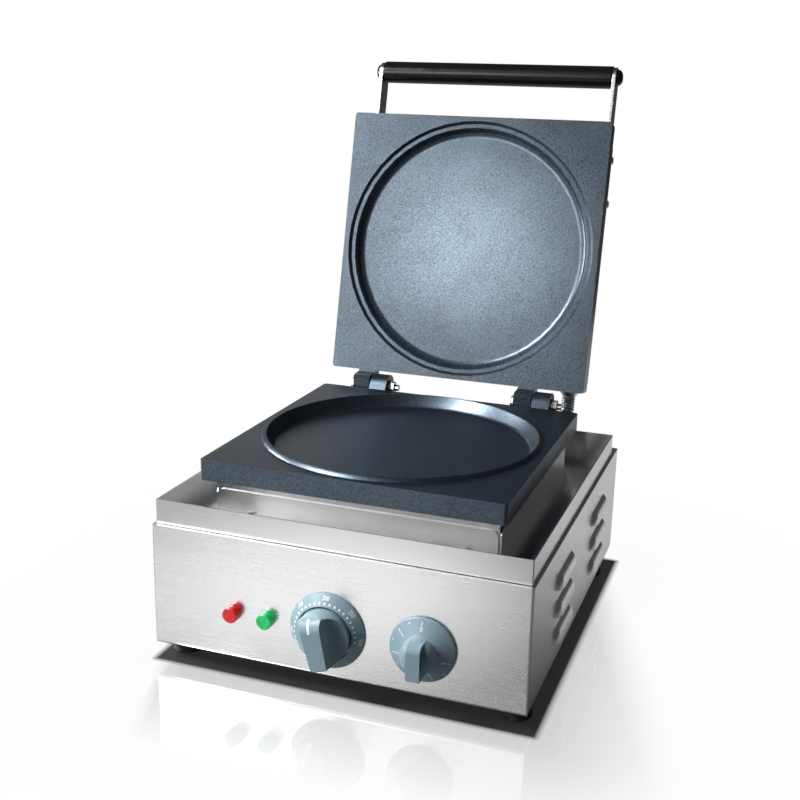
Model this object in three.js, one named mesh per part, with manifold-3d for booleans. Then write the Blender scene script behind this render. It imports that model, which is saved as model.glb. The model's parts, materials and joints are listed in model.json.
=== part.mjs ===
// Round-plate countertop baker: a heated lower plate on a sheet-metal case, and a heated upper plate on a hinge.
// Units are millimetres and +Z is up. The control panel faces -Y and +X is to the right.
// The pieces are drawn with y = 0 on the control panel's face and z = 0 on the worktop.
// The last lines shift the whole object in y, so that its origin is the centre of its footprint.
import * as THREE from 'three';
import { mergeVertices } from 'three/addons/utils/BufferGeometryUtils.js';
import Module from 'manifold-3d';

const wasm = await Module();
wasm.setup();

// Driving dimensions: sheet and clearances
const sheet = 1;
const clearance = 0.4;
const bendRadius = 2;

// Driving dimensions: case
const caseWidth = 300;
const caseDepth = 330;
const caseHeight = 100;
const footHeight = 13.5;
const frontCornerRadius = 4;
const rearCornerRadius = 13;
const sideFlange = 20;
const rearFlange = 10;

// Driving dimensions: louvres pressed in both sides
const louvreLength = 62;
const louvreHeight = 11;
const louvreDepth = 5;
const louvrePitch = 22.5;
const louvreRows = 3;
const louvreTop = 80;
const louvreColumns = [105, 241];

// Driving dimensions: drip tray
const trayInsetSide = 2;
const trayInsetFront = 4;
const trayDepth = 303.5;
const trayWall = 19;
const upstandHeight = 21.5;
const gutterWidth = 33;

// Driving dimensions: cooking plates
const plateWidth = 244;
const plateDepth = 242;
const plateThickness = 16.5;
const plateCorner = 3;
const plateFront = 26.5;
const plateLift = 31.5;
const partingGap = 0.5;
const lipOuter = 115.8;
const lipHeight = 3;
const lipWidth = 4.6;
const panDraft = 3.4;
const panDepth = 7.5;
const upperPlateThickness = 15.5;
const rimChamfer = 0.9;
const rebateSideGap = 1.5;
const rebateTopGap = 0.6;
const rebateDraft = 2.4;
const upperPanDepth = 10.2;
const upperPanDraft = 2.2;
const upperPanFillet = [6.4, 4.8];

// Driving dimensions: hinge
const openAngle = 102.8;
const hingeBehind = 14;
const hingeBelowTop = 0.5;
const hingeSpacing = 156;
const knuckleRadius = 11.5;
const lugWidth = 16;
const lugGap = 1.2;
const boltRadius = 3;
const boltHeadWidth = 10;
const boltHeadHeight = 4;
const nutHeight = 5;
const boltEnd = 4;

// Driving dimensions: lid cover, arms and handle
const coverWidth = 232;
const coverRear = 6;
const coverFront = 228;
const coverBack = 54;
const coverCorner = 5;
const armThickness = 3.2;
const armWidth = 18;
const armBack = 42;
const armInside = 66;
const handleBeyond = 47.4;
const handleRadius = 10.1;
const handleScrewRadius = 3;
const capRadius = 7.4;
const capHeight = 4.6;

// Driving dimensions: controls on the front panel
const controlHeight = 53;
const redLampX = -80.7;
const greenLampX = -52.4;
const thermostatX = -3;
const timerX = 71.5;
const lampRadius = 6.4;
const lampReach = 7.5;
const dialRadius = 30;
const dialHeight = 8;
const thermostatKnobRadius = 20.6;
const thermostatKnobHeight = 28;
const thermostatBrow = 11;
const scoopRadius = 19;
const knobGap = 2.5;
const thermostatGripWidth = 14.6;
const thermostatPointer = 14;
const timerKnobRadius = 25.3;
const timerKnobHeight = 24.5;
const timerHubRadius = 13.4;
const timerGripWidth = 10.4;
const shaftRadius = 3;
const shaftInside = 16;
const shaftCrown = 11;
const controlBodies = { thermostat: [44, 38, 24], timer: [58, 50, 30] };

// Driving dimensions: heating elements and their fixing
const heaterRadius = 4;
const heaterRing = 76;
const clampRadius = 88;
const clampSheet = 2;
const studRadius = 4;
const bossRadius = 10;
const bossHeight = 8;

// Driving dimensions: ribbed conduit
const conduitRadius = 6.2;
const conduitBore = 3.8;
const ribDepth = 1;
const ribPitch = 3;
const conduitInset = 13;
const conduitBack = 33;
const caseGlandX = 22;
const glandRadius = 9;
const glandReach = 10;
const glandBehind = 10;
const powerGlandReach = 16;
const powerGlandBehind = 12;
const blockInset = 50;
const blockX = -60;

// Places that follow from the driving dimensions
const halfWidth = caseWidth / 2;
const deck = footHeight + caseHeight;
const trayFloor = deck + clearance;
const trayTop = trayFloor + trayWall;
const plateBottom = deck + plateLift;
const plateTop = plateBottom + plateThickness;
const plateRear = plateFront + plateDepth;
const plateCentreY = plateFront + plateDepth / 2;
const hingeY = plateRear + hingeBehind;
const hingeZ = plateTop - hingeBelowTop;
const trayHalf = halfWidth - trayInsetSide;
const trayRear = trayInsetFront + trayDepth;
const wellHalf = trayHalf - gutterWidth;
const wellFront = trayInsetFront + gutterWidth + 1.5;
const wellRear = plateRear - 12;
const boxHalf = wellHalf - sheet - clearance;
const boxFront = wellFront + sheet + clearance;
const boxRear = wellRear - sheet - clearance;
const stripY = (trayRear + caseDepth) / 2;
const conduitX = coverWidth / 2 - conduitInset;

// Every sub-part's finish
function finish(color, roughness, metalness) {
  return new THREE.MeshStandardMaterial({ color, roughness, metalness, flatShading: true });
}
const stainless = finish(0xc4c6c8, 0.35, 1);
const castIron = finish(0x3a4250, 0.6, 0.3);
const plainSteel = finish(0x9a9ca0, 0.4, 1);
const darkSteel = finish(0x4a4640, 0.6, 0.8);
const blackPlastic = finish(0x16161a, 0.25, 0);
const knobPlastic = finish(0x7f97a3, 0.45, 0);
const rubber = finish(0x1b1b1b, 0.8, 0);
const redGlass = finish(0xd01525, 0.15, 0);
const greenGlass = finish(0x00a050, 0.15, 0);
const housing = finish(0xd8d4c8, 0.6, 0);
const brass = finish(0xb08d4a, 0.4, 1);

// A geometry becomes a solid for joining and cutting, with its faces turned outward.
function solidOf(geometry) {
  const bare = new THREE.BufferGeometry();
  bare.setAttribute('position', geometry.getAttribute('position').clone());
  if (geometry.index) bare.setIndex(geometry.index.clone());
  const merged = mergeVertices(bare, 1e-4);
  const vertProperties = new Float32Array(merged.getAttribute('position').array);
  const triVerts = dropSlivers(Array.from(merged.index.array));
  if (enclosedVolume(vertProperties, triVerts) < 0) turnOver(triVerts);
  const triangles = new Uint32Array(triVerts);
  return new wasm.Manifold(new wasm.Mesh({ numProp: 3, vertProperties, triVerts: triangles }));
}

// Triangles that lost a corner when equal points were merged, as at the poles of a revolved form.
function dropSlivers(indices) {
  const kept = [];
  for (let i = 0; i < indices.length; i += 3) {
    const [a, b, c] = indices.slice(i, i + 3);
    if (a !== b && b !== c && c !== a) kept.push(a, b, c);
  }
  return kept;
}

function enclosedVolume(points, indices) {
  let sum = 0;
  const corner = (i) => new THREE.Vector3().fromArray(points, 3 * indices[i]);
  for (let i = 0; i < indices.length; i += 3) {
    sum += corner(i).dot(corner(i + 1).cross(corner(i + 2)));
  }
  return sum / 6;
}

function turnOver(indices) {
  for (let i = 0; i < indices.length; i += 3) {
    [indices[i], indices[i + 1]] = [indices[i + 1], indices[i]];
  }
}

function geometryOf(solid) {
  const mesh = solid.getMesh();
  const geometry = new THREE.BufferGeometry();
  geometry.setAttribute('position', new THREE.BufferAttribute(new Float32Array(mesh.vertProperties), 3));
  geometry.setIndex(new THREE.BufferAttribute(new Uint32Array(mesh.triVerts), 1));
  return geometry;
}

function join(...geometries) {
  const solids = geometries.flat().map(solidOf);
  return geometryOf(solids.reduce((sum, solid) => sum.add(solid)));
}

function cut(base, ...tools) {
  const solids = tools.flat().map(solidOf);
  return geometryOf(solids.reduce((rest, solid) => rest.subtract(solid), solidOf(base)));
}

function common(...geometries) {
  const solids = geometries.flat().map(solidOf);
  return geometryOf(solids.reduce((shared, solid) => shared.intersect(solid)));
}

// Basic forms
function block(x0, x1, y0, y1, z0, z1) {
  const form = new THREE.BoxGeometry(x1 - x0, y1 - y0, z1 - z0);
  return form.translate((x0 + x1) / 2, (y0 + y1) / 2, (z0 + z1) / 2);
}

function roundedRect(x0, x1, y0, y1, radius) {
  const shape = new THREE.Shape();
  shape.absarc(x1 - radius, y1 - radius, radius, 0, Math.PI / 2);
  shape.absarc(x0 + radius, y1 - radius, radius, Math.PI / 2, Math.PI);
  shape.absarc(x0 + radius, y0 + radius, radius, Math.PI, 1.5 * Math.PI);
  shape.absarc(x1 - radius, y0 + radius, radius, 1.5 * Math.PI, 2 * Math.PI);
  shape.closePath();
  return shape;
}

// A shape drawn in x and y, raised from z0 to z1.
function prismZ(shape, z0, z1, curveSegments = 5) {
  const form = new THREE.ExtrudeGeometry(shape, { depth: z1 - z0, bevelEnabled: false, curveSegments });
  return form.translate(0, 0, z0);
}

// A shape drawn in y and z, run from x0 to x1.
function prismX(shape, x0, x1, curveSegments = 5) {
  const form = new THREE.ExtrudeGeometry(shape, { depth: x1 - x0, bevelEnabled: false, curveSegments });
  const turn = new THREE.Matrix4().makeBasis(
    new THREE.Vector3(0, 1, 0), new THREE.Vector3(0, 0, 1), new THREE.Vector3(1, 0, 0));
  return form.applyMatrix4(turn).translate(x0, 0, 0);
}

// A shape drawn in x and z, run from y0 to y1.
function prismY(shape, y0, y1, curveSegments = 5) {
  const form = new THREE.ExtrudeGeometry(shape, { depth: y1 - y0, bevelEnabled: false, curveSegments });
  return form.rotateX(Math.PI / 2).translate(0, y1, 0);
}

// A profile of [radius, height] points, turned about the z axis with its faces outward.
function turned(profile, sides = 24) {
  const twiceArea = profile.reduce((sum, [radius, height], i) => {
    const [nextRadius, nextHeight] = profile[(i + 1) % profile.length];
    return sum + radius * nextHeight - nextRadius * height;
  }, 0);
  const points = profile.map(([radius, height]) => new THREE.Vector2(radius, height));
  if (twiceArea < 0) points.reverse();
  return new THREE.LatheGeometry(points, sides).rotateX(Math.PI / 2);
}

function rod(radius, z0, z1, sides = 24) {
  const form = new THREE.CylinderGeometry(radius, radius, z1 - z0, sides);
  return form.rotateX(Math.PI / 2).translate(0, 0, (z0 + z1) / 2);
}

const alongX = (form) => form.rotateY(Math.PI / 2);
const alongY = (form) => form.rotateX(-Math.PI / 2);
const outOfPanel = (form) => form.rotateX(Math.PI / 2);

function arcPoints(radius, from, to, count) {
  return Array.from({ length: count + 1 }, (_, i) => {
    const angle = from + ((to - from) * i) / count;
    return [radius * Math.cos(angle), radius * Math.sin(angle)];
  });
}

function tube(points, radius, sides, steps) {
  const path = new THREE.CatmullRomCurve3(points);
  const section = new THREE.Shape(arcPoints(radius, 0, 2 * Math.PI * (1 - 1 / sides), sides - 1)
    .map(([x, y]) => new THREE.Vector2(x, y)));
  return new THREE.ExtrudeGeometry(section, { steps, extrudePath: path, bevelEnabled: false });
}

function part(name, geometry, material) {
  const mesh = new THREE.Mesh(geometry, material);
  mesh.name = name;
  return mesh;
}

// Case shell: front, sides and deck folded from one sheet, with flanges under and behind
function caseOutline(inset, rearEnd) {
  const side = new THREE.Shape();
  const front = frontCornerRadius - inset;
  const rear = rearCornerRadius - inset;
  const low = footHeight + inset;
  side.moveTo(inset, deck - inset);
  side.lineTo(inset, low + front);
  side.absarc(inset + front, low + front, front, Math.PI, 1.5 * Math.PI);
  side.lineTo(rearEnd - rear, low);
  side.absarc(rearEnd - rear, low + rear, rear, -Math.PI / 2, 0);
  side.lineTo(rearEnd, deck - inset);
  side.closePath();
  const half = halfWidth - inset;
  const plan = roundedRect(-half, half, inset, rearEnd, bendRadius - inset / 2);
  const face = roundedRect(-half, half, low, deck - inset, front);
  return common(
    prismX(side, -half, half, 4),
    prismZ(plan, low, deck - inset, 3),
    join(prismY(face, inset, rearEnd, 4), block(-half, half, inset, rearEnd, deck / 2, deck - inset)));
}

function louvreForms(side, y, z) {
  const hoodCentre = halfWidth - sheet;
  const above = block(-2 * louvreDepth, 2 * louvreDepth, -louvreLength, louvreLength, 0, 2 * louvreHeight);
  const capsule = (radius, depth) => {
    const form = new THREE.CapsuleGeometry(radius, louvreLength - 2 * louvreHeight, 2, 8);
    return common(form.scale(depth / radius, 1, 1), above);
  };
  const place = (form) => form.rotateZ(side < 0 ? Math.PI : 0).translate(side * hoodCentre, y, z);
  return {
    hood: place(capsule(louvreHeight, louvreDepth + sheet)),
    hollow: place(capsule(louvreHeight - sheet, louvreDepth)),
  };
}

function caseShell() {
  const outside = caseOutline(0, caseDepth);
  const inside = caseOutline(sheet, caseDepth - sheet);
  const under = block(-halfWidth + sideFlange, halfWidth - sideFlange, sideFlange, caseDepth - sideFlange,
    footHeight - sheet, footHeight + 2 * sheet);
  const behind = block(-halfWidth + rearFlange, halfWidth - rearFlange, caseDepth - sideFlange,
    caseDepth + sheet, footHeight - sheet, deck - rearFlange);
  const well = block(-boxHalf - clearance, boxHalf + clearance, boxFront - clearance, boxRear + clearance,
    deck - 2 * sheet, deck + sheet);
  let shell = cut(outside, inside, under, behind, well);
  const louvres = [];
  for (const side of [-1, 1]) {
    for (const y of louvreColumns) {
      for (let row = 0; row < louvreRows; row += 1) {
        louvres.push(louvreForms(side, y, louvreTop - row * louvrePitch));
      }
    }
  }
  shell = cut(join(shell, louvres.map(({ hood }) => hood)), louvres.map(({ hollow }) => hollow));
  return cut(shell, controlHoles(), deckHoles(), footHoles(), rearScrewHoles());
}

// Holes through the front panel for lamps and shafts
const lampHole = lampRadius - 1.4;
const shaftBushRadius = 5;
function controlHoles() {
  const hole = (x, radius) => outOfPanel(rod(radius, -3 * sheet, sheet, 16)).translate(x, 0, controlHeight);
  return [
    hole(redLampX, lampHole + clearance),
    hole(greenLampX, lampHole + clearance),
    hole(thermostatX, shaftBushRadius + clearance),
    hole(timerX, shaftBushRadius + clearance),
  ];
}

// Holes through the deck: four tray screws and the conduit gland
const traySpread = 88;
const screwRadius = 2;
const screwHole = screwRadius + clearance;
const glandShank = 6.6;
const traySpots = [
  [-traySpread, wellFront - 6],
  [traySpread, wellFront - 6],
  [-traySpread, wellRear + 14],
  [traySpread, wellRear + 14],
];
function deckHoles() {
  const through = (x, y, radius, sides) =>
    rod(radius, deck - 3 * sheet, deck + 3 * sheet, sides).translate(x, y, 0);
  return [
    ...traySpots.map(([x, y]) => through(x, y, screwHole, 8)),
    through(caseGlandX, stripY, glandShank + clearance, 12),
  ];
}

// Feet under the side flanges, each with its own screw
const footRadius = 12;
const footInset = 14;
const footSpots = [
  ['front_left', -halfWidth + footInset, 26],
  ['front_right', halfWidth - footInset, 26],
  ['rear_left', -halfWidth + footInset, caseDepth - 36],
  ['rear_right', halfWidth - footInset, caseDepth - 36],
];
function footHoles() {
  return footSpots.map(([, x, y]) => rod(screwHole, footHeight - sheet, footHeight + 5, 8).translate(x, y, 0));
}

// Foot: a tapered rubber puck, with the screw's head up inside it
const footRecess = 8;
const headRadius = 4;
const headHeight = 2.4;
function foot() {
  const top = footHeight - 0.3;
  return turned([
    [footRadius - 1, 0], [footRadius, 1], [footRadius - 2, top], [screwHole, top], [screwHole, footRecess],
    [headRadius + 1, footRecess], [headRadius + 1, 0], [footRadius - 1, 0],
  ], 14);
}

// A pan-head screw with its shank along +z and its head below z = 0
function panScrew(length, radius = screwRadius, head = headRadius, height = headHeight) {
  return turned([[0, -height], [head * 0.7, -height], [head, 0], [radius, 0], [radius, length], [0, length]], 8);
}

// Rear panel: a flat sheet over the rear opening, with vent slots
const rearPanelLow = footHeight + rearCornerRadius + 1;
const rearFace = caseDepth + clearance;
const rearScrewSpots = [
  [-halfWidth + 6, deck - 14], [halfWidth - 6, deck - 14],
  [-halfWidth + 6, rearPanelLow + 12], [halfWidth - 6, rearPanelLow + 12],
];
const ventSlots = { count: 5, pitch: 20, width: 5, height: 26, x: 40, low: 46 };
const powerGlandX = -100;
const powerGlandZ = 52;
function rearScrewHoles() {
  return rearScrewSpots.map(([x, z]) =>
    outOfPanel(rod(screwHole, -4 * sheet, 4 * sheet, 8)).translate(x, caseDepth, z));
}

function rearPanel() {
  const plate = prismY(roundedRect(-halfWidth + 0.5, halfWidth - 0.5, rearPanelLow, deck - 0.5, 1.5),
    rearFace, rearFace + sheet);
  const slots = Array.from({ length: ventSlots.count }, (_, i) => {
    const x = ventSlots.x + (i - (ventSlots.count - 1) / 2) * ventSlots.pitch;
    const low = ventSlots.low;
    const shape = roundedRect(x - ventSlots.width / 2, x + ventSlots.width / 2, low, low + ventSlots.height,
      ventSlots.width / 2);
    return prismY(shape, rearFace - sheet, rearFace + 2 * sheet, 2);
  });
  const inlet = outOfPanel(rod(glandShank + clearance, -4 * sheet, 4 * sheet, 12))
    .translate(powerGlandX, caseDepth, powerGlandZ);
  return cut(plate, slots, inlet, rearScrewHoles());
}

// Bottom cover: lies on the side flanges and curves up behind, inside the rear flange
const bottomSlots = { rows: [110, 200], count: 3, pitch: 60, width: 7, length: 44 };
function bottomCover() {
  const half = halfWidth - sheet - clearance;
  const low = footHeight + sheet + clearance;
  const front = sheet + clearance;
  const rear = caseDepth - sheet - clearance;
  const outer = rearCornerRadius - sheet - clearance;
  const inner = outer - sheet;
  const top = rearPanelLow + 6;
  const profile = new THREE.Shape();
  profile.moveTo(front + frontCornerRadius, low);
  profile.lineTo(rear - outer, low);
  profile.absarc(rear - outer, low + outer, outer, -Math.PI / 2, 0);
  profile.lineTo(rear, top);
  profile.lineTo(rear - sheet, top);
  profile.absarc(rear - outer, low + outer, inner, 0, -Math.PI / 2, true);
  profile.lineTo(front + frontCornerRadius, low + sheet);
  profile.closePath();
  const slots = bottomSlots.rows.flatMap((y) => Array.from({ length: bottomSlots.count }, (_, i) => {
    const x = (i - (bottomSlots.count - 1) / 2) * bottomSlots.pitch;
    const shape = roundedRect(x - bottomSlots.width / 2, x + bottomSlots.width / 2,
      y - bottomSlots.length / 2, y + bottomSlots.length / 2, bottomSlots.width / 2);
    return prismZ(shape, low - sheet, low + 2 * sheet, 2);
  }));
  return cut(prismX(profile, -half + 2.5, half - 2.5), slots, footHoles());
}

// Drip tray: outer walls and floor, and four inner upstands with free ends
function dripTray() {
  const outside = prismZ(roundedRect(-trayHalf, trayHalf, trayInsetFront, trayRear, bendRadius / 2),
    trayFloor, trayTop, 3);
  const hollow = block(-trayHalf + sheet, trayHalf - sheet, trayInsetFront + sheet, trayRear - sheet,
    trayFloor + sheet, trayTop + sheet);
  const well = block(-wellHalf + sheet, wellHalf - sheet, wellFront + sheet, wellRear - sheet,
    trayFloor - sheet, trayFloor + 2 * sheet);
  const top = trayFloor + upstandHeight;
  const relief = 2;
  const endRadius = 5;
  const upstandX = (x0, x1) => {
    const shape = roundedRect(wellFront + relief, wellRear - relief, trayFloor - endRadius, top, endRadius);
    return common(prismX(shape, x0, x1, 4), block(-trayHalf, trayHalf, 0, trayRear, trayFloor, top));
  };
  const upstandY = (y0, y1) => {
    const shape = roundedRect(-wellHalf + relief, wellHalf - relief, trayFloor - endRadius, top, endRadius);
    return common(prismY(shape, y0, y1, 4), block(-trayHalf, trayHalf, 0, trayRear, trayFloor, top));
  };
  const pan = cut(outside, hollow, well);
  const walls = [
    upstandX(-wellHalf, -wellHalf + sheet), upstandX(wellHalf - sheet, wellHalf),
    upstandY(wellFront, wellFront + sheet), upstandY(wellRear - sheet, wellRear),
  ];
  return cut(join(pan, walls), deckHoles());
}

// Heater box: four walls and a floor under the lower plate, with a flange below the deck
const boxFloor = deck - 26;
const boxFlange = 22;
const boxTop = plateBottom - clearance;
const leadHoleRadius = 9;
const leadHoleX = 60;
const leadHoleHeight = 13;
const capillaryHoleRadius = 3;
const capillaryHoleHeight = 8;
const punchReach = 3;
function heaterBox() {
  const flangeTop = deck - sheet - clearance;
  const outside = block(-boxHalf, boxHalf, boxFront, boxRear, boxFloor, boxTop);
  const flange = block(-boxHalf - boxFlange, boxHalf + boxFlange, boxFront - boxFlange, boxRear + boxFlange,
    flangeTop - sheet, flangeTop);
  const hollow = block(-boxHalf + sheet, boxHalf - sheet, boxFront + sheet, boxRear - sheet,
    boxFloor + sheet, boxTop + sheet);
  const leads = alongY(rod(leadHoleRadius, boxRear - punchReach, boxRear + punchReach))
    .translate(leadHoleX, 0, boxFloor + leadHoleHeight);
  const capillary = alongY(rod(capillaryHoleRadius, boxFront - punchReach, boxFront + punchReach, 12))
    .translate(bulbX, 0, boxFloor + capillaryHoleHeight);
  const tie = rod(studRadius + clearance, boxFloor - sheet, boxFloor + 2 * sheet, 16).translate(0, plateCentreY, 0);
  return cut(join(outside, flange), hollow, leads, capillary, tie, deckHoles());
}

// Hinge lugs, drawn in y and z about the hinge axis
function lowerLug(x0) {
  const shape = new THREE.Shape();
  const from = -hingeBehind - 4;
  shape.moveTo(from, -knuckleRadius);
  shape.lineTo(0, -knuckleRadius);
  shape.absarc(0, 0, knuckleRadius, -Math.PI / 2, (150 / 180) * Math.PI);
  shape.lineTo(-hingeBehind, hingeBelowTop - 0.6);
  shape.lineTo(from, hingeBelowTop - 0.6);
  shape.closePath();
  return prismX(shape, x0, x0 + lugWidth, 9).translate(0, hingeY, hingeZ);
}

const lean = THREE.MathUtils.degToRad(openAngle - 90);
function upperLug(x0) {
  const up = new THREE.Vector2(Math.sin(lean), Math.cos(lean));
  const back = new THREE.Vector2(Math.cos(lean), -Math.sin(lean));
  const onLid = (along, behind) => up.clone().multiplyScalar(hingeBehind + along)
    .add(back.clone().multiplyScalar(behind + hingeBelowTop + partingGap));
  const flat = knuckleRadius - 0.5;
  const corner = 3.2;
  const stopFace = clearance - hingeBehind;
  const shape = new THREE.Shape([
    onLid(4, 0.6),
    onLid(-1.6, 0.6),
    new THREE.Vector2(-flat + corner, flat),
    new THREE.Vector2(-flat, flat - corner),
    new THREE.Vector2(-flat, -2.6),
    new THREE.Vector2(stopFace, -3.4),
    new THREE.Vector2(stopFace, -8.6),
    new THREE.Vector2(-flat + corner, -flat),
    new THREE.Vector2(flat - corner, -flat),
    new THREE.Vector2(flat, -flat + corner),
    onLid(-5, upperPlateThickness - 2.5),
    onLid(4, upperPlateThickness - 2.5),
  ]);
  return prismX(shape, x0, x0 + lugWidth).rotateX(THREE.MathUtils.degToRad(openAngle));
}

const hingeCentres = [-hingeSpacing / 2, hingeSpacing / 2];
const upperLugStart = (x) => x - lugGap / 2 - lugWidth;
const lowerLugStart = (x) => x + lugGap / 2;
const boltBore = boltRadius + clearance;

// Lower plate: slab, raised lip, round pan, hinge lugs and a boss beneath
const lipInner = lipOuter - lipWidth;
const panFloorRadius = lipInner - panDraft;
function lowerPlate() {
  const slab = prismZ(roundedRect(-plateWidth / 2, plateWidth / 2, plateFront, plateRear, plateCorner),
    plateBottom, plateTop);
  const lip = turned([
    [0, -4], [lipOuter, -4], [lipOuter, 0], [lipOuter - 1, lipHeight * 0.6], [lipOuter - 2.6, lipHeight],
    [0, lipHeight],
  ], 48).translate(0, plateCentreY, plateTop);
  const pan = turned([
    [0, -panDepth], [panFloorRadius - 2.5, -panDepth], [panFloorRadius - 0.3, -panDepth + 1.8], [lipInner, lipHeight - rimChamfer], [lipInner + rimChamfer, lipHeight + 0.1],
    [lipInner + rimChamfer, lipHeight + 2], [0, lipHeight + 2],
  ], 48).translate(0, plateCentreY, plateTop);
  const boss = rod(bossRadius, -bossHeight, 1, 12).translate(0, plateCentreY, plateBottom);
  const socket = rod(studRadius + clearance, -bossHeight - 1, 5, 12).translate(0, plateCentreY, plateBottom);
  const lugs = hingeCentres.map((x) => lowerLug(lowerLugStart(x)));
  const bores = hingeCentres.map((x) =>
    alongX(rod(boltBore, lowerLugStart(x) - 1, lowerLugStart(x) + lugWidth + 1, 12)).translate(0, hingeY, hingeZ));
  return cut(join(slab, lip, boss, lugs), pan, socket, bores);
}

// The lid is drawn closed, in a frame on the hinge axis, and its group turns it open.
const lidFace = hingeBelowTop + partingGap;
const lidRear = -hingeBehind;
const lidCentre = lidRear - plateDepth / 2;
const lidBack = lidFace + upperPlateThickness;
const alongLid = (distance) => lidRear - distance;
const behindFace = (distance) => lidFace + distance;

// Cast ears on the upper plate's back, which the arms and cover are screwed to
const earLength = 56;
const earEnd = coverFront - sheet - 5;
const earTop = 48;
const earWidth = 12;
const armOuter = coverWidth / 2 - sheet - clearance;
const armInner = armOuter - armThickness;
const armScrewInset = 8;
const armScrewPitch = 40;
const armScrewSpots = [earEnd - armScrewInset, earEnd - armScrewInset - armScrewPitch];

// Upper plate: slab with a rebate that takes the lower lip, and within it a round pan with a filleted floor
const rebateOuter = lipOuter + rebateSideGap;
const rebateDepth = lipHeight - partingGap + rebateTopGap;
const upperPanRadius = lipInner + rimChamfer / 2;
function upperPlate() {
  const slab = prismZ(roundedRect(-plateWidth / 2, plateWidth / 2, alongLid(plateDepth), lidRear, plateCorner),
    lidFace, lidBack);
  const [filletAcross, filletDeep] = upperPanFillet;
  const filletEdge = upperPanRadius - upperPanDraft;
  const fillet = [0, 1, 2, 3].map((step) => {
    const angle = step * Math.PI / 6;
    return [filletEdge - filletAcross * (1 - Math.cos(angle)),
      upperPanDepth - filletDeep * (1 - Math.sin(angle))];
  });
  const recess = turned([
    [0, -1], [rebateOuter, -1], [rebateOuter, 0.3], [rebateOuter - rebateDraft, rebateDepth],
    [upperPanRadius, rebateDepth], ...fillet, [0, upperPanDepth],
  ], 48).translate(0, lidCentre, lidFace);
  const boss = rod(bossRadius, -1, bossHeight, 12).translate(0, lidCentre, lidBack);
  const socket = rod(studRadius + clearance, -3, bossHeight + 1, 12).translate(0, lidCentre, lidBack);
  const ears = [-1, 1].map((side) => {
    const inner = side * (armInner - clearance - earWidth);
    const outer = side * (armInner - clearance);
    return block(Math.min(inner, outer), Math.max(inner, outer), alongLid(earEnd), alongLid(earEnd - earLength),
      lidBack - 1, behindFace(earTop));
  });
  const lugs = hingeCentres.map((x) => upperLug(upperLugStart(x)));
  const bores = hingeCentres.map((x) =>
    alongX(rod(boltBore, upperLugStart(x) - 1, upperLugStart(x) + lugWidth + 1, 12)));
  return cut(join(slab, boss, ears, lugs), recess, socket, bores, armScrewHoles());
}

// Holes for the four side screws, through cover, arms and ears
const armScrewRadius = 2.5;
function armScrewHoles() {
  return armScrewSpots.flatMap((along) => [-1, 1].map((side) =>
    alongX(rod(armScrewRadius + clearance, -19, 19, 8))
      .translate(side * (coverWidth / 2), alongLid(along), behindFace(armBack))));
}

// Lid cover: a folded pan over the plate's back, slotted at the front for the arms
function lidCover() {
  const half = coverWidth / 2;
  const low = lidBack + clearance;
  const form = (inset) => {
    const side = new THREE.Shape();
    const radius = coverCorner - inset;
    const front = alongLid(coverFront - inset);
    const rear = alongLid(coverRear + inset);
    const top = behindFace(coverBack - inset);
    side.moveTo(rear, low - inset);
    side.lineTo(rear, top - radius);
    side.absarc(rear - radius, top - radius, radius, 0, Math.PI / 2);
    side.absarc(front + radius, top - radius, radius, Math.PI / 2, Math.PI);
    side.lineTo(front, low - inset);
    side.closePath();
    const plan = roundedRect(-half + inset, half - inset, front, rear, bendRadius);
    const across = new THREE.Shape();
    across.moveTo(-half + inset, low - inset);
    across.lineTo(half - inset, low - inset);
    across.absarc(half - inset - bendRadius, top - bendRadius, bendRadius, 0, Math.PI / 2);
    across.absarc(-half + inset + bendRadius, top - bendRadius, bendRadius, Math.PI / 2, Math.PI);
    across.closePath();
    return common(prismX(side, -half, half, 4), prismZ(plan, low - inset, top, 3), prismY(across, front, rear, 3));
  };
  const slots = [-1, 1].map((side) => {
    const x = side * (armOuter + armInner) / 2;
    const reach = armThickness / 2 + clearance;
    return block(x - reach, x + reach, alongLid(coverFront + 2), alongLid(coverFront - 3),
      behindFace(armBack - armWidth / 2 - clearance), behindFace(armBack + armWidth / 2 + clearance));
  });
  const gland = alongY(rod(glandShank + clearance, -4, 4, 12)).translate(conduitX, alongLid(coverRear), behindFace(conduitBack));
  return cut(form(0), form(sheet), slots, gland, armScrewHoles());
}

// Arms: flat bars with one full-round end at the grip
function arm(side) {
  const shape = new THREE.Shape();
  const half = armWidth / 2;
  const gripAt = alongLid(plateDepth + handleBeyond);
  const middle = behindFace(armBack);
  shape.moveTo(alongLid(coverFront - armInside), middle + half);
  shape.lineTo(gripAt, middle + half);
  shape.absarc(gripAt, middle, half, Math.PI / 2, 1.5 * Math.PI);
  shape.lineTo(alongLid(coverFront - armInside), middle - half);
  shape.closePath();
  const inner = side > 0 ? armInner : -armOuter;
  const bar = prismX(shape, inner, inner + armThickness, 7);
  const screwEye = alongX(rod(handleScrewRadius + clearance, inner - 1, inner + armThickness + 1, 16))
    .translate(0, gripAt, middle);
  return cut(bar, screwEye, armScrewHoles());
}

// Handle grip: a plain cylinder between the arms, with a tapped hole in each end
function handleGrip() {
  const half = armInner - clearance;
  const holeDepth = 22;
  const hole = handleScrewRadius + clearance;
  const profile = [
    [0, -half + holeDepth], [hole, -half + holeDepth], [hole, -half], [handleRadius - 1, -half],
    [handleRadius, -half + 1], [handleRadius, half - 1], [handleRadius - 1, half], [hole, half],
    [hole, half - holeDepth], [0, half - holeDepth],
  ];
  return alongX(turned(profile, 20)).translate(0, alongLid(plateDepth + handleBeyond), behindFace(armBack));
}

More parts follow.
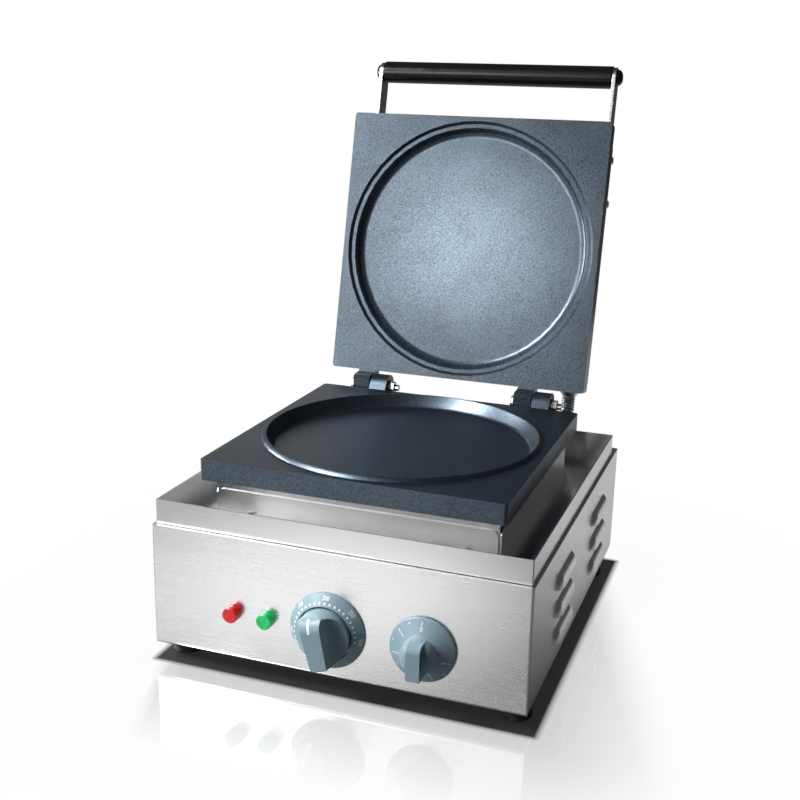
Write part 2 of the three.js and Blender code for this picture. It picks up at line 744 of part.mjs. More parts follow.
function handleScrew(side) {
  const reach = 18;
  const outside = armOuter + 0.3;
  const profile = [
    [0, outside + capHeight], [capRadius * 0.45, outside + capHeight * 0.9], [capRadius * 0.8, outside + capHeight * 0.6],
    [capRadius, outside + capHeight * 0.2], [capRadius, outside], [handleScrewRadius, outside],
    [handleScrewRadius, outside - reach], [0, outside - reach],
  ];
  const screw = alongX(turned(profile, 16));
  if (side < 0) screw.rotateZ(Math.PI);
  return screw.translate(0, alongLid(plateDepth + handleBeyond), behindFace(armBack));
}

function armScrew(side, along) {
  const screw = alongX(panScrew(14, armScrewRadius, 4.4, 2.6)).rotateZ(side > 0 ? Math.PI : 0);
  return screw.translate(side * (coverWidth / 2 + 0.3), alongLid(along), behindFace(armBack));
}

// Hinge bolt: hexagon head on the left, shank through both lugs, nut on the right
const hexRadius = boltHeadWidth / Math.sqrt(3);
function hexagon(radius, x0, x1) {
  return alongX(new THREE.CylinderGeometry(radius, radius, x1 - x0, 6).rotateX(Math.PI / 2)
    .translate(0, 0, (x0 + x1) / 2));
}
function hingeBolt(x) {
  const left = upperLugStart(x) - 0.3;
  const right = lowerLugStart(x) + lugWidth + 0.3 + nutHeight + boltEnd;
  const head = hexagon(hexRadius, left - boltHeadHeight, left);
  const shank = alongX(rod(boltRadius, left - 1, right, 12));
  return join(head, shank).translate(0, hingeY, hingeZ);
}
function hingeNut(x) {
  const start = lowerLugStart(x) + lugWidth + 0.3;
  const collar = alongX(rod(hexRadius + 0.6, start, start + 1, 16));
  const nut = hexagon(hexRadius, start + 0.5, start + nutHeight);
  return cut(join(collar, nut), alongX(rod(boltBore, start - 1, start + nutHeight + 1, 12)))
    .translate(0, hingeY, hingeZ);
}

// Heating element: an open ring with two legs that turn away from the plate
function heater(centreY, ringZ, away) {
  const opening = 0.22;
  const legDrop = 13;
  const ends = [opening, 2 * Math.PI - opening];
  const ring = arcPoints(heaterRing, ends[0], ends[1], 20).map(([x, y]) => new THREE.Vector3(y, x, 0));
  const leg = (sign) => [
    new THREE.Vector3(sign * 13, heaterRing + 8, away * 0.6),
    new THREE.Vector3(sign * 11.5, heaterRing + 15, away * 4.5),
    new THREE.Vector3(sign * 11, heaterRing + 17, away * legDrop),
  ];
  const points = [...leg(1).reverse(), ...ring, ...leg(-1)];
  return tube(points, heaterRadius, 7, 28).translate(0, centreY, ringZ);
}

// Clamp: a round plate with six openings and a notch for the heater's legs
const clampOpeningRing = 44;
const clampOpeningRadius = 15;
function heaterClamp() {
  const shape = new THREE.Shape(arcPoints(clampRadius, 0, 2 * Math.PI, 32).slice(0, -1)
    .map(([x, y]) => new THREE.Vector2(x, y)));
  for (let i = 0; i < 6; i += 1) {
    const angle = (i * Math.PI) / 3;
    const opening = new THREE.Path();
    opening.absarc(clampOpeningRing * Math.cos(angle), clampOpeningRing * Math.sin(angle), clampOpeningRadius,
      0, 2 * Math.PI, true);
    shape.holes.push(opening);
  }
  const notch = block(-19, 19, heaterRing - 10, clampRadius + 2, -1, clampSheet + 1);
  return cut(prismZ(shape, 0, clampSheet, 4), rod(studRadius + clearance, -1, clampSheet + 1, 16), notch);
}

// Bolt up the middle of a plate: hexagon head at z = 0 and shank towards +z
function middleBolt(length) {
  const head = new THREE.CylinderGeometry(7.5, 7.5, 5, 6).rotateX(Math.PI / 2).translate(0, 0, -2.5);
  return join(head, rod(studRadius, -1, length, 12));
}

function studNut(height = 6) {
  const nut = new THREE.CylinderGeometry(7.5, 7.5, height, 6).rotateX(Math.PI / 2).translate(0, 0, height / 2);
  return cut(nut, rod(studRadius + clearance, -1, height + 1, 12));
}

// Thermostat bulb under the lower plate, with its capillary down to the thermostat
const bulbX = -30;
const tieBoltReach = 4.3;
const bulbRadius = 3;
const bulbLength = 70;
const capillaryTop = 33;
const capillaryShoulder = 42;
const capillarySlope = 60;
const capillaryFoot = 84;
const shoulderDrop = 2;
const slopeDrop = 30;
function thermostatBulb() {
  const z = plateBottom - clearance - bulbRadius;
  const bulb = alongY(rod(bulbRadius, 0, bulbLength, 12)).translate(bulbX, plateCentreY - bulbLength / 2, z);
  const capillary = tube([
    new THREE.Vector3(bulbX, plateCentreY - capillaryTop, z),
    new THREE.Vector3(bulbX, plateCentreY - capillaryShoulder, z - shoulderDrop),
    new THREE.Vector3(bulbX, plateCentreY - capillarySlope, z - slopeDrop),
    new THREE.Vector3(bulbX, plateCentreY - capillaryFoot, boxFloor + capillaryHoleHeight + sheet),
    new THREE.Vector3(bulbX, boxFront, boxFloor + capillaryHoleHeight),
    new THREE.Vector3(bulbX, boxFront - 6, boxFloor + capillaryHoleHeight - sheet),
  ], 1, 5, 16);
  return join(bulb, capillary);
}

// Controls, drawn with the panel in z = 0, +z out of the panel and +y up
const dialGap = 0.3;
function dialRing() {
  const inner = thermostatKnobRadius + 1;
  return turned([
    [inner, dialGap], [dialRadius, dialGap], [dialRadius, 1.6], [dialRadius - 1, 2.6],
    [inner + 0.6, dialHeight], [inner, dialHeight - 0.4], [inner, dialGap],
  ], 32);
}

function thermostatKnob() {
  const radius = thermostatKnobRadius;
  const height = thermostatKnobHeight;
  const rim = height - thermostatBrow;
  const drum = turned([
    [0, knobGap], [radius, knobGap], [radius, rim], [radius - 0.3, height - 1], [radius - 1.2, height], [0, height],
  ], 44);
  const side = new THREE.Shape();
  side.moveTo(-2 * radius, 0);
  side.lineTo(radius, 0);
  side.lineTo(radius, rim);
  side.absarc(radius - thermostatBrow, rim, thermostatBrow, 0, Math.PI / 2);
  side.lineTo(-2 * radius, height);
  side.closePath();
  const scoops = [-1, 1].map((hand) => {
    const scoop = new THREE.CylinderGeometry(scoopRadius, scoopRadius, 4 * radius, 44);
    return scoop.rotateZ(-hand * 0.05)
      .translate(hand * (thermostatGripWidth / 2 + scoopRadius), 0, height + 1.5);
  });
  const bore = rod(shaftRadius + clearance, 0, 18, 12);
  const skirt = rod(radius - 3, 0, 6, 24);
  return cut(common(drum, prismX(side, -2 * radius, 2 * radius, 7)), scoops, bore, skirt);
}

const timerShaftReach = timerKnobHeight - shaftCrown + shaftRadius;
function timerKnob() {
  const hub = turned([
    [0, 0.6], [timerKnobRadius - 0.4, 0.6], [timerKnobRadius, 1.2], [timerKnobRadius, 2.4],
    [timerKnobRadius - 0.8, 3.2], [timerHubRadius + 1.2, 8.4], [timerHubRadius, 9.8],
    [timerHubRadius - 0.4, 15.5], [timerHubRadius - 1.9, 19], [timerHubRadius - 5, 21.4], [0, 22.4],
  ], 28);
  const half = timerGripWidth / 2;
  const side = new THREE.Shape();
  const barFoot = -timerHubRadius - 1.2;
  const barTop = timerHubRadius - 1;
  const barRound = 5.5;
  side.moveTo(barFoot, 4);
  side.lineTo(barTop, 4);
  side.lineTo(barTop, timerKnobHeight - barRound);
  side.absarc(barTop - barRound, timerKnobHeight - barRound, barRound, 0, Math.PI / 2);
  side.lineTo(barFoot + 0.6, timerKnobHeight);
  side.lineTo(barFoot, timerKnobHeight - 0.6);
  side.closePath();
  const bar = prismX(side, -half, half, 8);
  const bore = rod(shaftRadius + clearance, 0, timerShaftReach + 1, 16);
  const under = turned([[0, 0], [timerKnobRadius - 2, 0], [timerKnobRadius - 2, 2], [timerHubRadius - 1.5, 5.5], [0, 5.5]], 28);
  const post = cut(rod(6.5, 0.6, 7), rod(shaftRadius + clearance, 0, 8, 16));
  return join(cut(join(hub, bar), under, bore), post);
}

function shaft(inside, outside) {
  const flat = block(-shaftRadius, shaftRadius, shaftRadius - 1, shaftRadius + 1, 2, outside + 1);
  return cut(rod(shaftRadius, -inside, outside, 16), flat);
}

function pilotLamp() {
  const stem = lampHole;
  const profile = [
    [0, -26], [stem - 1, -26], [stem, -25], [stem, dialGap], [lampRadius, dialGap], [lampRadius, 1.2],
    [lampRadius - 0.3, lampReach - 1], [lampRadius - 1.2, lampReach], [0, lampReach],
  ];
  const tabs = [-1, 1].map((side) => block(side * 2.5 - 0.4, side * 2.5 + 0.4, -1.5, 1.5, -33, -25));
  return join(turned(profile, 14), tabs);
}

function controlBody(width, height, depth) {
  const back = -sheet - clearance;
  const box = prismZ(roundedRect(-width / 2, width / 2, -height / 2, height / 2, 3), back - depth, back, 2);
  const bush = rod(shaftBushRadius, back - 1, 0, 14);
  const tabs = [-1, 0, 1].map((i) =>
    block(i * width * 0.3 - 3, i * width * 0.3 + 3, -0.4, 0.4, back - depth - 8, back - depth + 1));
  return cut(join(box, bush, tabs), rod(shaftRadius + clearance, back - depth + 4, 1, 12));
}

function terminalBlock() {
  const count = 4;
  const pitch = 11;
  const base = block(-count * pitch / 2, count * pitch / 2, -9, 9, 0, 6);
  const cells = Array.from({ length: count }, (_, i) => {
    const x = (i - (count - 1) / 2) * pitch;
    return block(x - 4, x + 4, -8, 8, 5, 15);
  });
  return join(base, cells);
}

// Cable gland along +z: hexagon, dome nut and threaded shank behind the wall
function straightGland(reach, behind) {
  const hex = new THREE.CylinderGeometry(glandRadius + 1.2, glandRadius + 1.2, 4, 6).rotateX(Math.PI / 2)
    .translate(0, 0, 2.4);
  const body = turned([[0, 0.4], [glandRadius, 0.4], [glandRadius, reach - 3], [conduitRadius + 0.8, reach],
    [0, reach]], 16);
  const shank = rod(glandShank, -behind, 2, 12);
  return cut(join(hex, body, shank), rod(conduitBore, -behind - 1, reach + 1, 12));
}

// Elbow gland on the deck: up through the sheet, then out along +x to the conduit
const elbowHeight = 12;
const elbowReach = 16;
function elbowGland() {
  const base = new THREE.CylinderGeometry(glandRadius + 1, glandRadius + 1, 4, 6).rotateX(Math.PI / 2)
    .translate(0, 0, 2.4);
  const riser = rod(8, 1, elbowHeight, 12);
  const knee = new THREE.SphereGeometry(8, 12, 8).translate(0, 0, elbowHeight);
  const outlet = alongX(rod(8, 0, elbowReach - 1, 12)).translate(0, 0, elbowHeight);
  const collar = alongX(turned([[0, elbowReach - 8], [8.8, elbowReach - 8], [8.8, elbowReach - 2],
    [conduitRadius + 0.8, elbowReach], [0, elbowReach]], 16)).translate(0, 0, elbowHeight);
  const shank = rod(glandShank, -10, 2, 12);
  const up = rod(conduitBore, -11, elbowHeight, 8);
  const bend = new THREE.SphereGeometry(conduitBore, 8, 6).translate(0, 0, elbowHeight);
  const out = alongX(rod(conduitBore, 0, elbowReach + 1, 8)).translate(0, 0, elbowHeight);
  return cut(join(base, riser, knee, outlet, collar, shank), join(up, bend, out));
}

// Ribbed conduit: an unbroken ribbed tube with its bore, straight where it enters each gland
function conduit(lidEnd, lidDirection) {
  const straight = 2 * conduitRadius;
  const caseEnd = new THREE.Vector3(caseGlandX + elbowReach + 0.3, stripY, deck + clearance + elbowHeight);
  const caseDirection = new THREE.Vector3(1, 0, 0);
  const leaving = caseEnd.clone().addScaledVector(caseDirection, straight);
  const arriving = lidEnd.clone().addScaledVector(lidDirection, straight);
  const path = new THREE.CurvePath();
  path.add(new THREE.LineCurve3(caseEnd, leaving));
  path.add(new THREE.CubicBezierCurve3(
    leaving,
    leaving.clone().addScaledVector(caseDirection, 34),
    arriving.clone().addScaledVector(lidDirection, 15),
    arriving,
  ));
  path.add(new THREE.LineCurve3(arriving, lidEnd));
  const length = path.getLength();
  const ribs = Math.floor((length - 2 * straight) / ribPitch);
  const sides = 8;
  const stations = [0];
  for (let i = 0; i <= 2 * ribs; i += 1) stations.push((straight + (i * ribPitch) / 2) / length);
  stations.push(1);
  const outer = stations.map((t, i) => (i % 2 === 0 && i > 0 && t < 1 ? conduitRadius - ribDepth : conduitRadius));
  const bore = stations.filter((_, i) => i % 10 === 0 || i === stations.length - 1);
  const frames = path.computeFrenetFrames(400, false);
  const ring = (t, radius) => {
    const centre = path.getPointAt(t);
    const frame = Math.round(t * 400);
    const round = arcPoints(radius, 0, 2 * Math.PI * (1 - 1 / sides), sides - 1);
    return round.map(([u, v]) =>
      centre.clone().addScaledVector(frames.normals[frame], u).addScaledVector(frames.binormals[frame], v));
  };
  const rings = [...stations.map((t, i) => ring(t, outer[i])), ...bore.reverse().map((t) => ring(t, conduitBore))];
  const positions = rings.flat().flatMap((p) => [p.x, p.y, p.z]);
  const indices = [];
  for (let i = 0; i < rings.length; i += 1) {
    const here = i * sides;
    const next = ((i + 1) % rings.length) * sides;
    for (let j = 0; j < sides; j += 1) {
      const k = (j + 1) % sides;
      indices.push(here + j, here + k, next + j, here + k, next + k, next + j);
    }
  }
  const geometry = new THREE.BufferGeometry();
  geometry.setAttribute('position', new THREE.BufferAttribute(new Float32Array(positions), 3));
  geometry.setIndex(indices);
  return geometryOf(solidOf(geometry));
}

// Base assembly
const group = new THREE.Group();
group.add(
  part('case_shell', caseShell(), stainless),
  part('rear_panel', rearPanel(), stainless),
  part('bottom_cover', bottomCover(), stainless),
  part('drip_tray', dripTray(), stainless),
  part('heater_box', heaterBox(), stainless),
  part('lower_plate', lowerPlate(), castIron),
);

for (const [place, x, y] of footSpots) {
  const rubberFoot = part('foot_' + place, foot(), rubber);
  rubberFoot.position.set(x, y, 0);
  const screw = part('foot_screw_' + place, panScrew(10), plainSteel);
  screw.position.set(x, y, footRecess - 0.3);
  group.add(rubberFoot, screw);
}

traySpots.forEach(([x, y], i) => {
  const screw = part('tray_screw_' + (i + 1), panScrew(8).rotateX(Math.PI), plainSteel);
  screw.position.set(x, y, trayFloor + sheet + 0.3);
  group.add(screw);
});

rearScrewSpots.forEach(([x, z], i) => {
  const screw = part('rear_screw_' + (i + 1), outOfPanel(panScrew(8)), plainSteel);
  screw.position.set(x, rearFace + sheet + 0.3, z);
  group.add(screw);
});

['left', 'right'].forEach((side, i) => {
  group.add(part(side + '_hinge_bolt', hingeBolt(hingeCentres[i]), plainSteel));
  group.add(part(side + '_hinge_nut', hingeNut(hingeCentres[i]), plainSteel));
});

// Lower heater, clamp and tie stud
const lowerRingZ = plateBottom - clearance - heaterRadius;
const lowerClampTop = lowerRingZ - heaterRadius - clearance;
group.add(part('lower_heater', heater(plateCentreY, lowerRingZ, -1), darkSteel));
const lowerClamp = part('lower_heater_clamp', heaterClamp(), plainSteel);
lowerClamp.position.set(0, plateCentreY, lowerClampTop - clampSheet);
const lowerBolt = part('lower_tie_bolt', middleBolt(plateBottom + tieBoltReach - boxFloor), plainSteel);
lowerBolt.position.set(0, plateCentreY, boxFloor - 0.3);
const lowerClampNut = part('lower_clamp_nut', studNut(), plainSteel);
lowerClampNut.position.set(0, plateCentreY, lowerClampTop - clampSheet - 0.3 - 6);
group.add(lowerClamp, lowerBolt, lowerClampNut, part('thermostat_bulb', thermostatBulb(), brass));

// Front controls
function panelGroup(x, ...pieces) {
  const holder = new THREE.Group();
  holder.position.set(x, 0, controlHeight);
  holder.rotation.x = Math.PI / 2;
  holder.add(...pieces);
  group.add(holder);
}
const turnedKnob = part('thermostat_knob', thermostatKnob(), knobPlastic);
turnedKnob.rotation.z = THREE.MathUtils.degToRad(thermostatPointer);
const turnedShaft = part('thermostat_shaft', shaft(shaftInside, thermostatKnobHeight - shaftCrown), plainSteel);
turnedShaft.rotation.z = turnedKnob.rotation.z;
panelGroup(redLampX, part('red_pilot_lamp', pilotLamp(), redGlass));
panelGroup(greenLampX, part('green_pilot_lamp', pilotLamp(), greenGlass));
panelGroup(thermostatX, part('thermostat_body', controlBody(...controlBodies.thermostat), housing),
  part('thermostat_dial_ring', dialRing(), knobPlastic), turnedShaft, turnedKnob);
panelGroup(timerX, part('timer_body', controlBody(...controlBodies.timer), housing),
  part('timer_shaft', shaft(shaftInside, timerShaftReach), plainSteel), part('timer_knob', timerKnob(), knobPlastic));

// Wiring points
const block1 = part('terminal_block', terminalBlock(), housing);
block1.position.set(blockX, caseDepth - blockInset, footHeight + 2 * sheet + 2 * clearance);
const powerGland = part('power_cable_gland', straightGland(powerGlandReach, powerGlandBehind).rotateX(-Math.PI / 2),
  blackPlastic);
powerGland.position.set(powerGlandX, rearFace + sheet, powerGlandZ);
const caseGland = part('conduit_case_gland', elbowGland(), plainSteel);
caseGland.position.set(caseGlandX, stripY, deck + clearance);
group.add(block1, powerGland, caseGland);

// Lid assembly, drawn closed and turned open about the hinge axis
const lid = new THREE.Group();
lid.position.set(0, hingeY, hingeZ);
lid.rotation.x = -THREE.MathUtils.degToRad(openAngle);
group.add(lid);
lid.add(
  part('upper_plate', upperPlate(), castIron),
  part('lid_cover', lidCover(), stainless),
  part('left_arm', arm(-1), stainless),
  part('right_arm', arm(1), stainless),
  part('handle_grip', handleGrip(), blackPlastic),
  part('left_handle_screw', handleScrew(-1), blackPlastic),
  part('right_handle_screw', handleScrew(1), blackPlastic),
);
for (const [side, sign] of [['left', -1], ['right', 1]]) {
  armScrewSpots.forEach((along, i) => {
    lid.add(part(side + '_arm_screw_' + (i + 1), armScrew(sign, along), plainSteel));
  });
}

const upperRingZ = lidBack + clearance + heaterRadius;
const upperClampLow = upperRingZ + heaterRadius + clearance;
lid.add(part('upper_heater', heater(lidCentre, upperRingZ, 1), darkSteel));
const upperClamp = part('upper_heater_clamp', heaterClamp(), plainSteel);
upperClamp.position.set(0, lidCentre, upperClampLow);
const upperHead = upperClampLow + clampSheet + 0.3;
const upperBolt = part('upper_clamp_bolt', middleBolt(upperHead - lidBack + 2).rotateX(Math.PI), plainSteel);
upperBolt.position.set(0, lidCentre, upperHead);
const lidGland = part('conduit_lid_gland', straightGland(glandReach, glandBehind).rotateX(-Math.PI / 2), plainSteel);
lidGland.position.set(conduitX, alongLid(coverRear), behindFace(conduitBack));
lid.add(upperClamp, upperBolt, lidGland);

// The conduit ends on the lid's gland, wherever the open lid holds it.
lid.updateMatrixWorld(true);
const conduitEnd = new THREE.Vector3(conduitX, alongLid(coverRear - glandReach - 0.3), behindFace(conduitBack));
const conduitDirection = new THREE.Vector3(0, 1, 0).transformDirection(lid.matrixWorld);
group.add(part('conduit', conduit(conduitEnd.applyMatrix4(lid.matrixWorld), conduitDirection), plainSteel));

// The origin is the centre of the footprint, on the worktop.
group.updateMatrixWorld(true);
const extent = new THREE.Box3().setFromObject(group, true);
group.position.y = -(extent.min.y + extent.max.y) / 2;

export default group;
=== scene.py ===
# %% [markdown]
# # A countertop baker with a hinged upper plate
#
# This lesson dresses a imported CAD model: a small professional baker for round cakes. It has a sheet-steel
# case with a control panel, a drip tray, a cast lower plate with a round recess, and a heated lid on two
# hinges. The CAD solids give every size and place. Blender adds finishes, fine forms and light, and moves
# nothing.

# %% Load the CAD frame
import json
import math

import bmesh
import bpy
from mathutils import Matrix, Vector

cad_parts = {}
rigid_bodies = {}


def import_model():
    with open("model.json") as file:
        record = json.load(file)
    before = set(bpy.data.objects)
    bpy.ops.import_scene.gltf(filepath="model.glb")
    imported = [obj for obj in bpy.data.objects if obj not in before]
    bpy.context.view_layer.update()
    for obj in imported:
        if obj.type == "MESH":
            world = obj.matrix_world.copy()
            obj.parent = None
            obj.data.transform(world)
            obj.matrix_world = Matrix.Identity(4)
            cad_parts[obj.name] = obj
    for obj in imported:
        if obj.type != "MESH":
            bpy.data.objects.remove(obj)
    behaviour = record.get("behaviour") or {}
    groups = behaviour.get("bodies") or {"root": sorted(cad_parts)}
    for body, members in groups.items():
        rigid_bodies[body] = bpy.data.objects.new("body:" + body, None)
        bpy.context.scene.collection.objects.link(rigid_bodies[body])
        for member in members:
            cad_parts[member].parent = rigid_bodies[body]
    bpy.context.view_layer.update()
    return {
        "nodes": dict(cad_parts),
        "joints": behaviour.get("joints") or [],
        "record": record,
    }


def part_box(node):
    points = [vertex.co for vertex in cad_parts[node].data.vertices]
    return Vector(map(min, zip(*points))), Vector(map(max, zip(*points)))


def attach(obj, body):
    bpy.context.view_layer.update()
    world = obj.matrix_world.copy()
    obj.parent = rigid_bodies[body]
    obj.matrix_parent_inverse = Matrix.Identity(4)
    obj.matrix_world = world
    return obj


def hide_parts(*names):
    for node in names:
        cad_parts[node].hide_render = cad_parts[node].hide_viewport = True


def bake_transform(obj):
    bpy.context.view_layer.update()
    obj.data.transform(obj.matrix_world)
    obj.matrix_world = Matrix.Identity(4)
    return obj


for leftover in list(bpy.data.objects):
    bpy.data.objects.remove(leftover)

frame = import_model()
nodes = frame["nodes"]
print("loaded", len(nodes), "CAD nodes")

# %% [markdown]
# ## Measures
#
# The drawing measures in millimetres from the control panel's face and the worktop. Blender works in metres.
# One helper turns the first into the second, so each number below can be read off a drawing. A second helper
# does the same for the open lid, whose parts are drawn along its own leaning face.

# %% From drawing millimetres to the scene
MM = 0.001
PANEL_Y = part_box("case_shell")[0].y
joints = {joint["name"]: joint for joint in frame["joints"]}
HINGE = Vector(joints["lid_hinge"]["pos_m"])
OPEN_ANGLE = math.radians(joints["lid_hinge"]["range_deg"][1])
HINGE_BEHIND_EDGE = 14
FACE_ABOVE_HINGE = 1


def at(x, y, z):
    """A point that is x right of the middle, y behind the panel and z above the worktop, in millimetres."""
    return Vector((x * MM, PANEL_Y + y * MM, z * MM))


def on_lid(x, along, behind):
    """A point on the open lid: along from its hinge edge to its front edge, behind its cooking face."""
    closed = Vector((x, -HINGE_BEHIND_EDGE - along, FACE_ABOVE_HINGE + behind)) * MM
    return HINGE + Matrix.Rotation(-OPEN_ANGLE, 3, "X") @ closed


print("hinge at", [round(c, 4) for c in HINGE], "open by", round(math.degrees(OPEN_ANGLE), 1), "degrees")

# %% [markdown]
# ## Camera
#
# The picture was taken from the right of the panel and a little above the plates. The values below were found
# by fitting a camera to the object's straight edges. A camera looks along its own -Z axis, so its rotation is
# the matrix whose columns are the picture's right, its up, and the direction back to the lens.

# %% Camera
AZIMUTH, ELEVATION, ROLL = (math.radians(a) for a in (19.55, 16.1, 1.27))
CAMERA_TARGET = at(-3.79, 150, 190.1)
CAMERA_DISTANCE = 0.96014
CAMERA_LENS = 52.56

back = Vector((
    math.sin(AZIMUTH) * math.cos(ELEVATION),
    -math.cos(AZIMUTH) * math.cos(ELEVATION),
    math.sin(ELEVATION),
))
level_right = (-back).cross(Vector((0, 0, 1))).normalized()
level_up = level_right.cross(-back)
picture_right = level_right * math.cos(ROLL) + level_up * math.sin(ROLL)
picture_up = level_up * math.cos(ROLL) - level_right * math.sin(ROLL)

camera_data = bpy.data.cameras.new("camera")
camera_data.sensor_width = 36
camera_data.lens = CAMERA_LENS
camera_data.clip_start = 0.01
camera = bpy.data.objects.new("camera", camera_data)
bpy.context.scene.collection.objects.link(camera)
turn = Matrix((picture_right, picture_up, back)).transposed().to_4x4()
camera.matrix_world = Matrix.Translation(CAMERA_TARGET + back * CAMERA_DISTANCE) @ turn
bpy.context.scene.camera = camera
print("camera at", [round(c, 3) for c in camera.matrix_world.translation])

# %% [markdown]
# ## Node helpers
#
# Materials are built from nodes. They could be placed and joined one by one in the editor. Here a few short
# helpers do it, so that each finish below reads as a recipe. The first two feed a socket, either with another
# node's output or with a plain value, and add a node.

# %% Feed a socket and add a node


def feed(tree, socket, value):
    """Joins an output to a socket, or sets the socket to a plain value."""
    if isinstance(value, bpy.types.NodeSocket):
        tree.links.new(value, socket)
    else:
        socket.default_value = value


def add_node(tree, kind, **values):
    """A node of this kind, with properties and inputs set by name."""
    node = tree.nodes.new(kind)
    for name, value in values.items():
        socket = node.inputs.get(name.replace("_", " "))
        if socket is not None and not hasattr(node, name):
            feed(tree, socket, value)
        else:
            setattr(node, name, value)
    return node


def feed_in_order(tree, node, values):
    """Feeds a node's sockets from the first on."""
    for socket, value in zip(node.inputs, values):
        feed(tree, socket, value)


print("a node is added and fed by name")

# %% [markdown]
# Most nodes of a finish only calculate: they multiply, compare, blend two colours or move a value from one
# range to another. Each of these helpers adds one such node and returns its result, ready for the next.

# %% Sums and blends
MIX_SHARE, MIX_FIRST, MIX_SECOND, MIX_RESULT = 0, 6, 7, 2


def calculate(tree, operation, *values):
    """The result of a Math node."""
    node = add_node(tree, "ShaderNodeMath", operation=operation)
    feed_in_order(tree, node, values)
    return node.outputs["Value"]


def vector_math(tree, operation, *values):
    """The result of a Vector Math node: a number for a length or a dot product, and else a vector."""
    node = add_node(tree, "ShaderNodeVectorMath", operation=operation)
    feed_in_order(tree, node, values)
    return node.outputs["Value" if operation in ("LENGTH", "DOT_PRODUCT") else "Vector"]


def remap(tree, value, start, end, to_start=0.0, to_end=1.0, clamp=True):
    """A value that goes from start to end, turned into one that goes from to_start to to_end."""
    node = add_node(tree, "ShaderNodeMapRange", clamp=clamp)
    ends = {"Value": value, "From Min": start, "From Max": end, "To Min": to_start, "To Max": to_end}
    for name, number in ends.items():
        feed(tree, node.inputs[name], number)
    return node.outputs["Result"]


def mix_colors(tree, share, first, second):
    """The first colour where the share is nought, and the second where it is one."""
    node = add_node(tree, "ShaderNodeMix", data_type="RGBA")
    for place, value in ((MIX_SHARE, share), (MIX_FIRST, first), (MIX_SECOND, second)):
        feed(tree, node.inputs[place], value)
    return node.outputs[MIX_RESULT]


def mix_shaders(tree, share, first, second):
    """The first shader where the share is nought, and the second where it is one."""
    node = add_node(tree, "ShaderNodeMixShader")
    feed_in_order(tree, node, (share, first, second))
    return node.outputs["Shader"]


def object_place(tree):
    """Where a point of the surface lies on its own object."""
    return add_node(tree, "ShaderNodeTexCoord").outputs["Object"]


def noise(tree, place, **values):
    """The value of a noise texture at a place."""
    node = add_node(tree, "ShaderNodeTexNoise", **values)
    feed(tree, node.inputs["Vector"], place)
    return node.outputs["Fac"]


print("helpers that calculate are ready")

# %% [markdown]
# An effect that several finishes share is a node group with named inputs and outputs. It is built once, and
# each material places it with its own values. The shader itself stays in the material.

# %% Groups and materials


def new_group(name, inputs, outputs):
    """An empty shader node group with (name, kind, default) inputs and (name, kind) outputs."""
    tree = bpy.data.node_groups.new(name, "ShaderNodeTree")
    for label, kind, default in inputs:
        socket = tree.interface.new_socket(label, in_out="INPUT", socket_type="NodeSocket" + kind)
        socket.default_value = default
    for label, kind in outputs:
        tree.interface.new_socket(label, in_out="OUTPUT", socket_type="NodeSocket" + kind)
    return tree, tree.nodes.new("NodeGroupInput").outputs, tree.nodes.new("NodeGroupOutput").inputs


def use_group(tree, group, **values):
    """The outputs of the group placed in a material, whose own inputs are fed by name."""
    node = tree.nodes.new("ShaderNodeGroup")
    node.node_tree = group
    for name, value in values.items():
        feed(tree, node.inputs[name.replace("_", " ")], value)
    return node.outputs


def new_material(name, base_color, roughness, metallic=0.0, **shader_values):
    """A material with a Principled shader, and its constants on the shader's own sockets."""
    material = bpy.data.materials.new(name)
    material.use_nodes = True
    shader = material.node_tree.nodes["Principled BSDF"]
    shader.inputs["Base Color"].default_value = (*base_color, 1)
    shader.inputs["Roughness"].default_value = roughness
    shader.inputs["Metallic"].default_value = metallic
    for socket, value in shader_values.items():
        shader.inputs[socket.replace("_", " ")].default_value = value
    return material, material.node_tree, shader


print("helpers for groups and materials are ready")

# %% [markdown]
# ## Shared effects
#
# Brushed sheet has fine scratches in one direction. A picture of scratches would blur close up. Noise that is
# stretched along the brushing gives them at any distance. The stretch is an input, because a case is brushed
# along its length and a bar along its own.

# %% Brushed scratches
brushed, given, result = new_group(
    "brushed_scratches",
    [("Stretch", "Vector", (4.0, 4.0, 500.0)),
     ("Dark", "Color", (0.5, 0.5, 0.5, 1)), ("Light", "Color", (0.8, 0.8, 0.8, 1)),
     ("Smooth", "Float", 0.25), ("Rough", "Float", 0.4)],
    [("Color", "Color"), ("Roughness", "Float"), ("Height", "Float")],
)
stretched = vector_math(brushed, "MULTIPLY", object_place(brushed), given["Stretch"])
scratches = noise(brushed, stretched, Scale=1.0, Detail=4.0, Roughness=0.75)
contrast = remap(brushed, scratches, 0.3, 0.7)
feed(brushed, result["Color"], mix_colors(brushed, contrast, given["Dark"], given["Light"]))
feed(brushed, result["Roughness"], remap(brushed, contrast, 0.0, 1.0, given["Smooth"], given["Rough"]))
feed(brushed, result["Height"], contrast)
print(brushed.name, "takes", [socket.name for socket in given if socket.name])

# %% [markdown]
# Everything that is used in a kitchen is wiped, and wiping leaves broad soft patches where the gloss
# changes. They are slow noise that goes a little to both sides of a finish's own roughness.

# %% Wiped patches
wiped, given, result = new_group(
    "wiped_patches",
    [("Roughness", "Float", 0.35), ("Spread", "Float", 0.08), ("Patch size", "Float", 14.0)],
    [("Roughness", "Float")],
)
place = object_place(wiped)
patches = noise(wiped, place, Scale=given["Patch size"], Detail=4.0, Roughness=0.6, Distortion=0.6)
centred = remap(wiped, patches, 0.35, 0.65, -1.0, 1.0)
uneven = calculate(wiped, "MULTIPLY_ADD", centred, given["Spread"], given["Roughness"])
feed(wiped, result["Roughness"], uneven)
print(wiped.name, "takes", [socket.name for socket in given if socket.name])

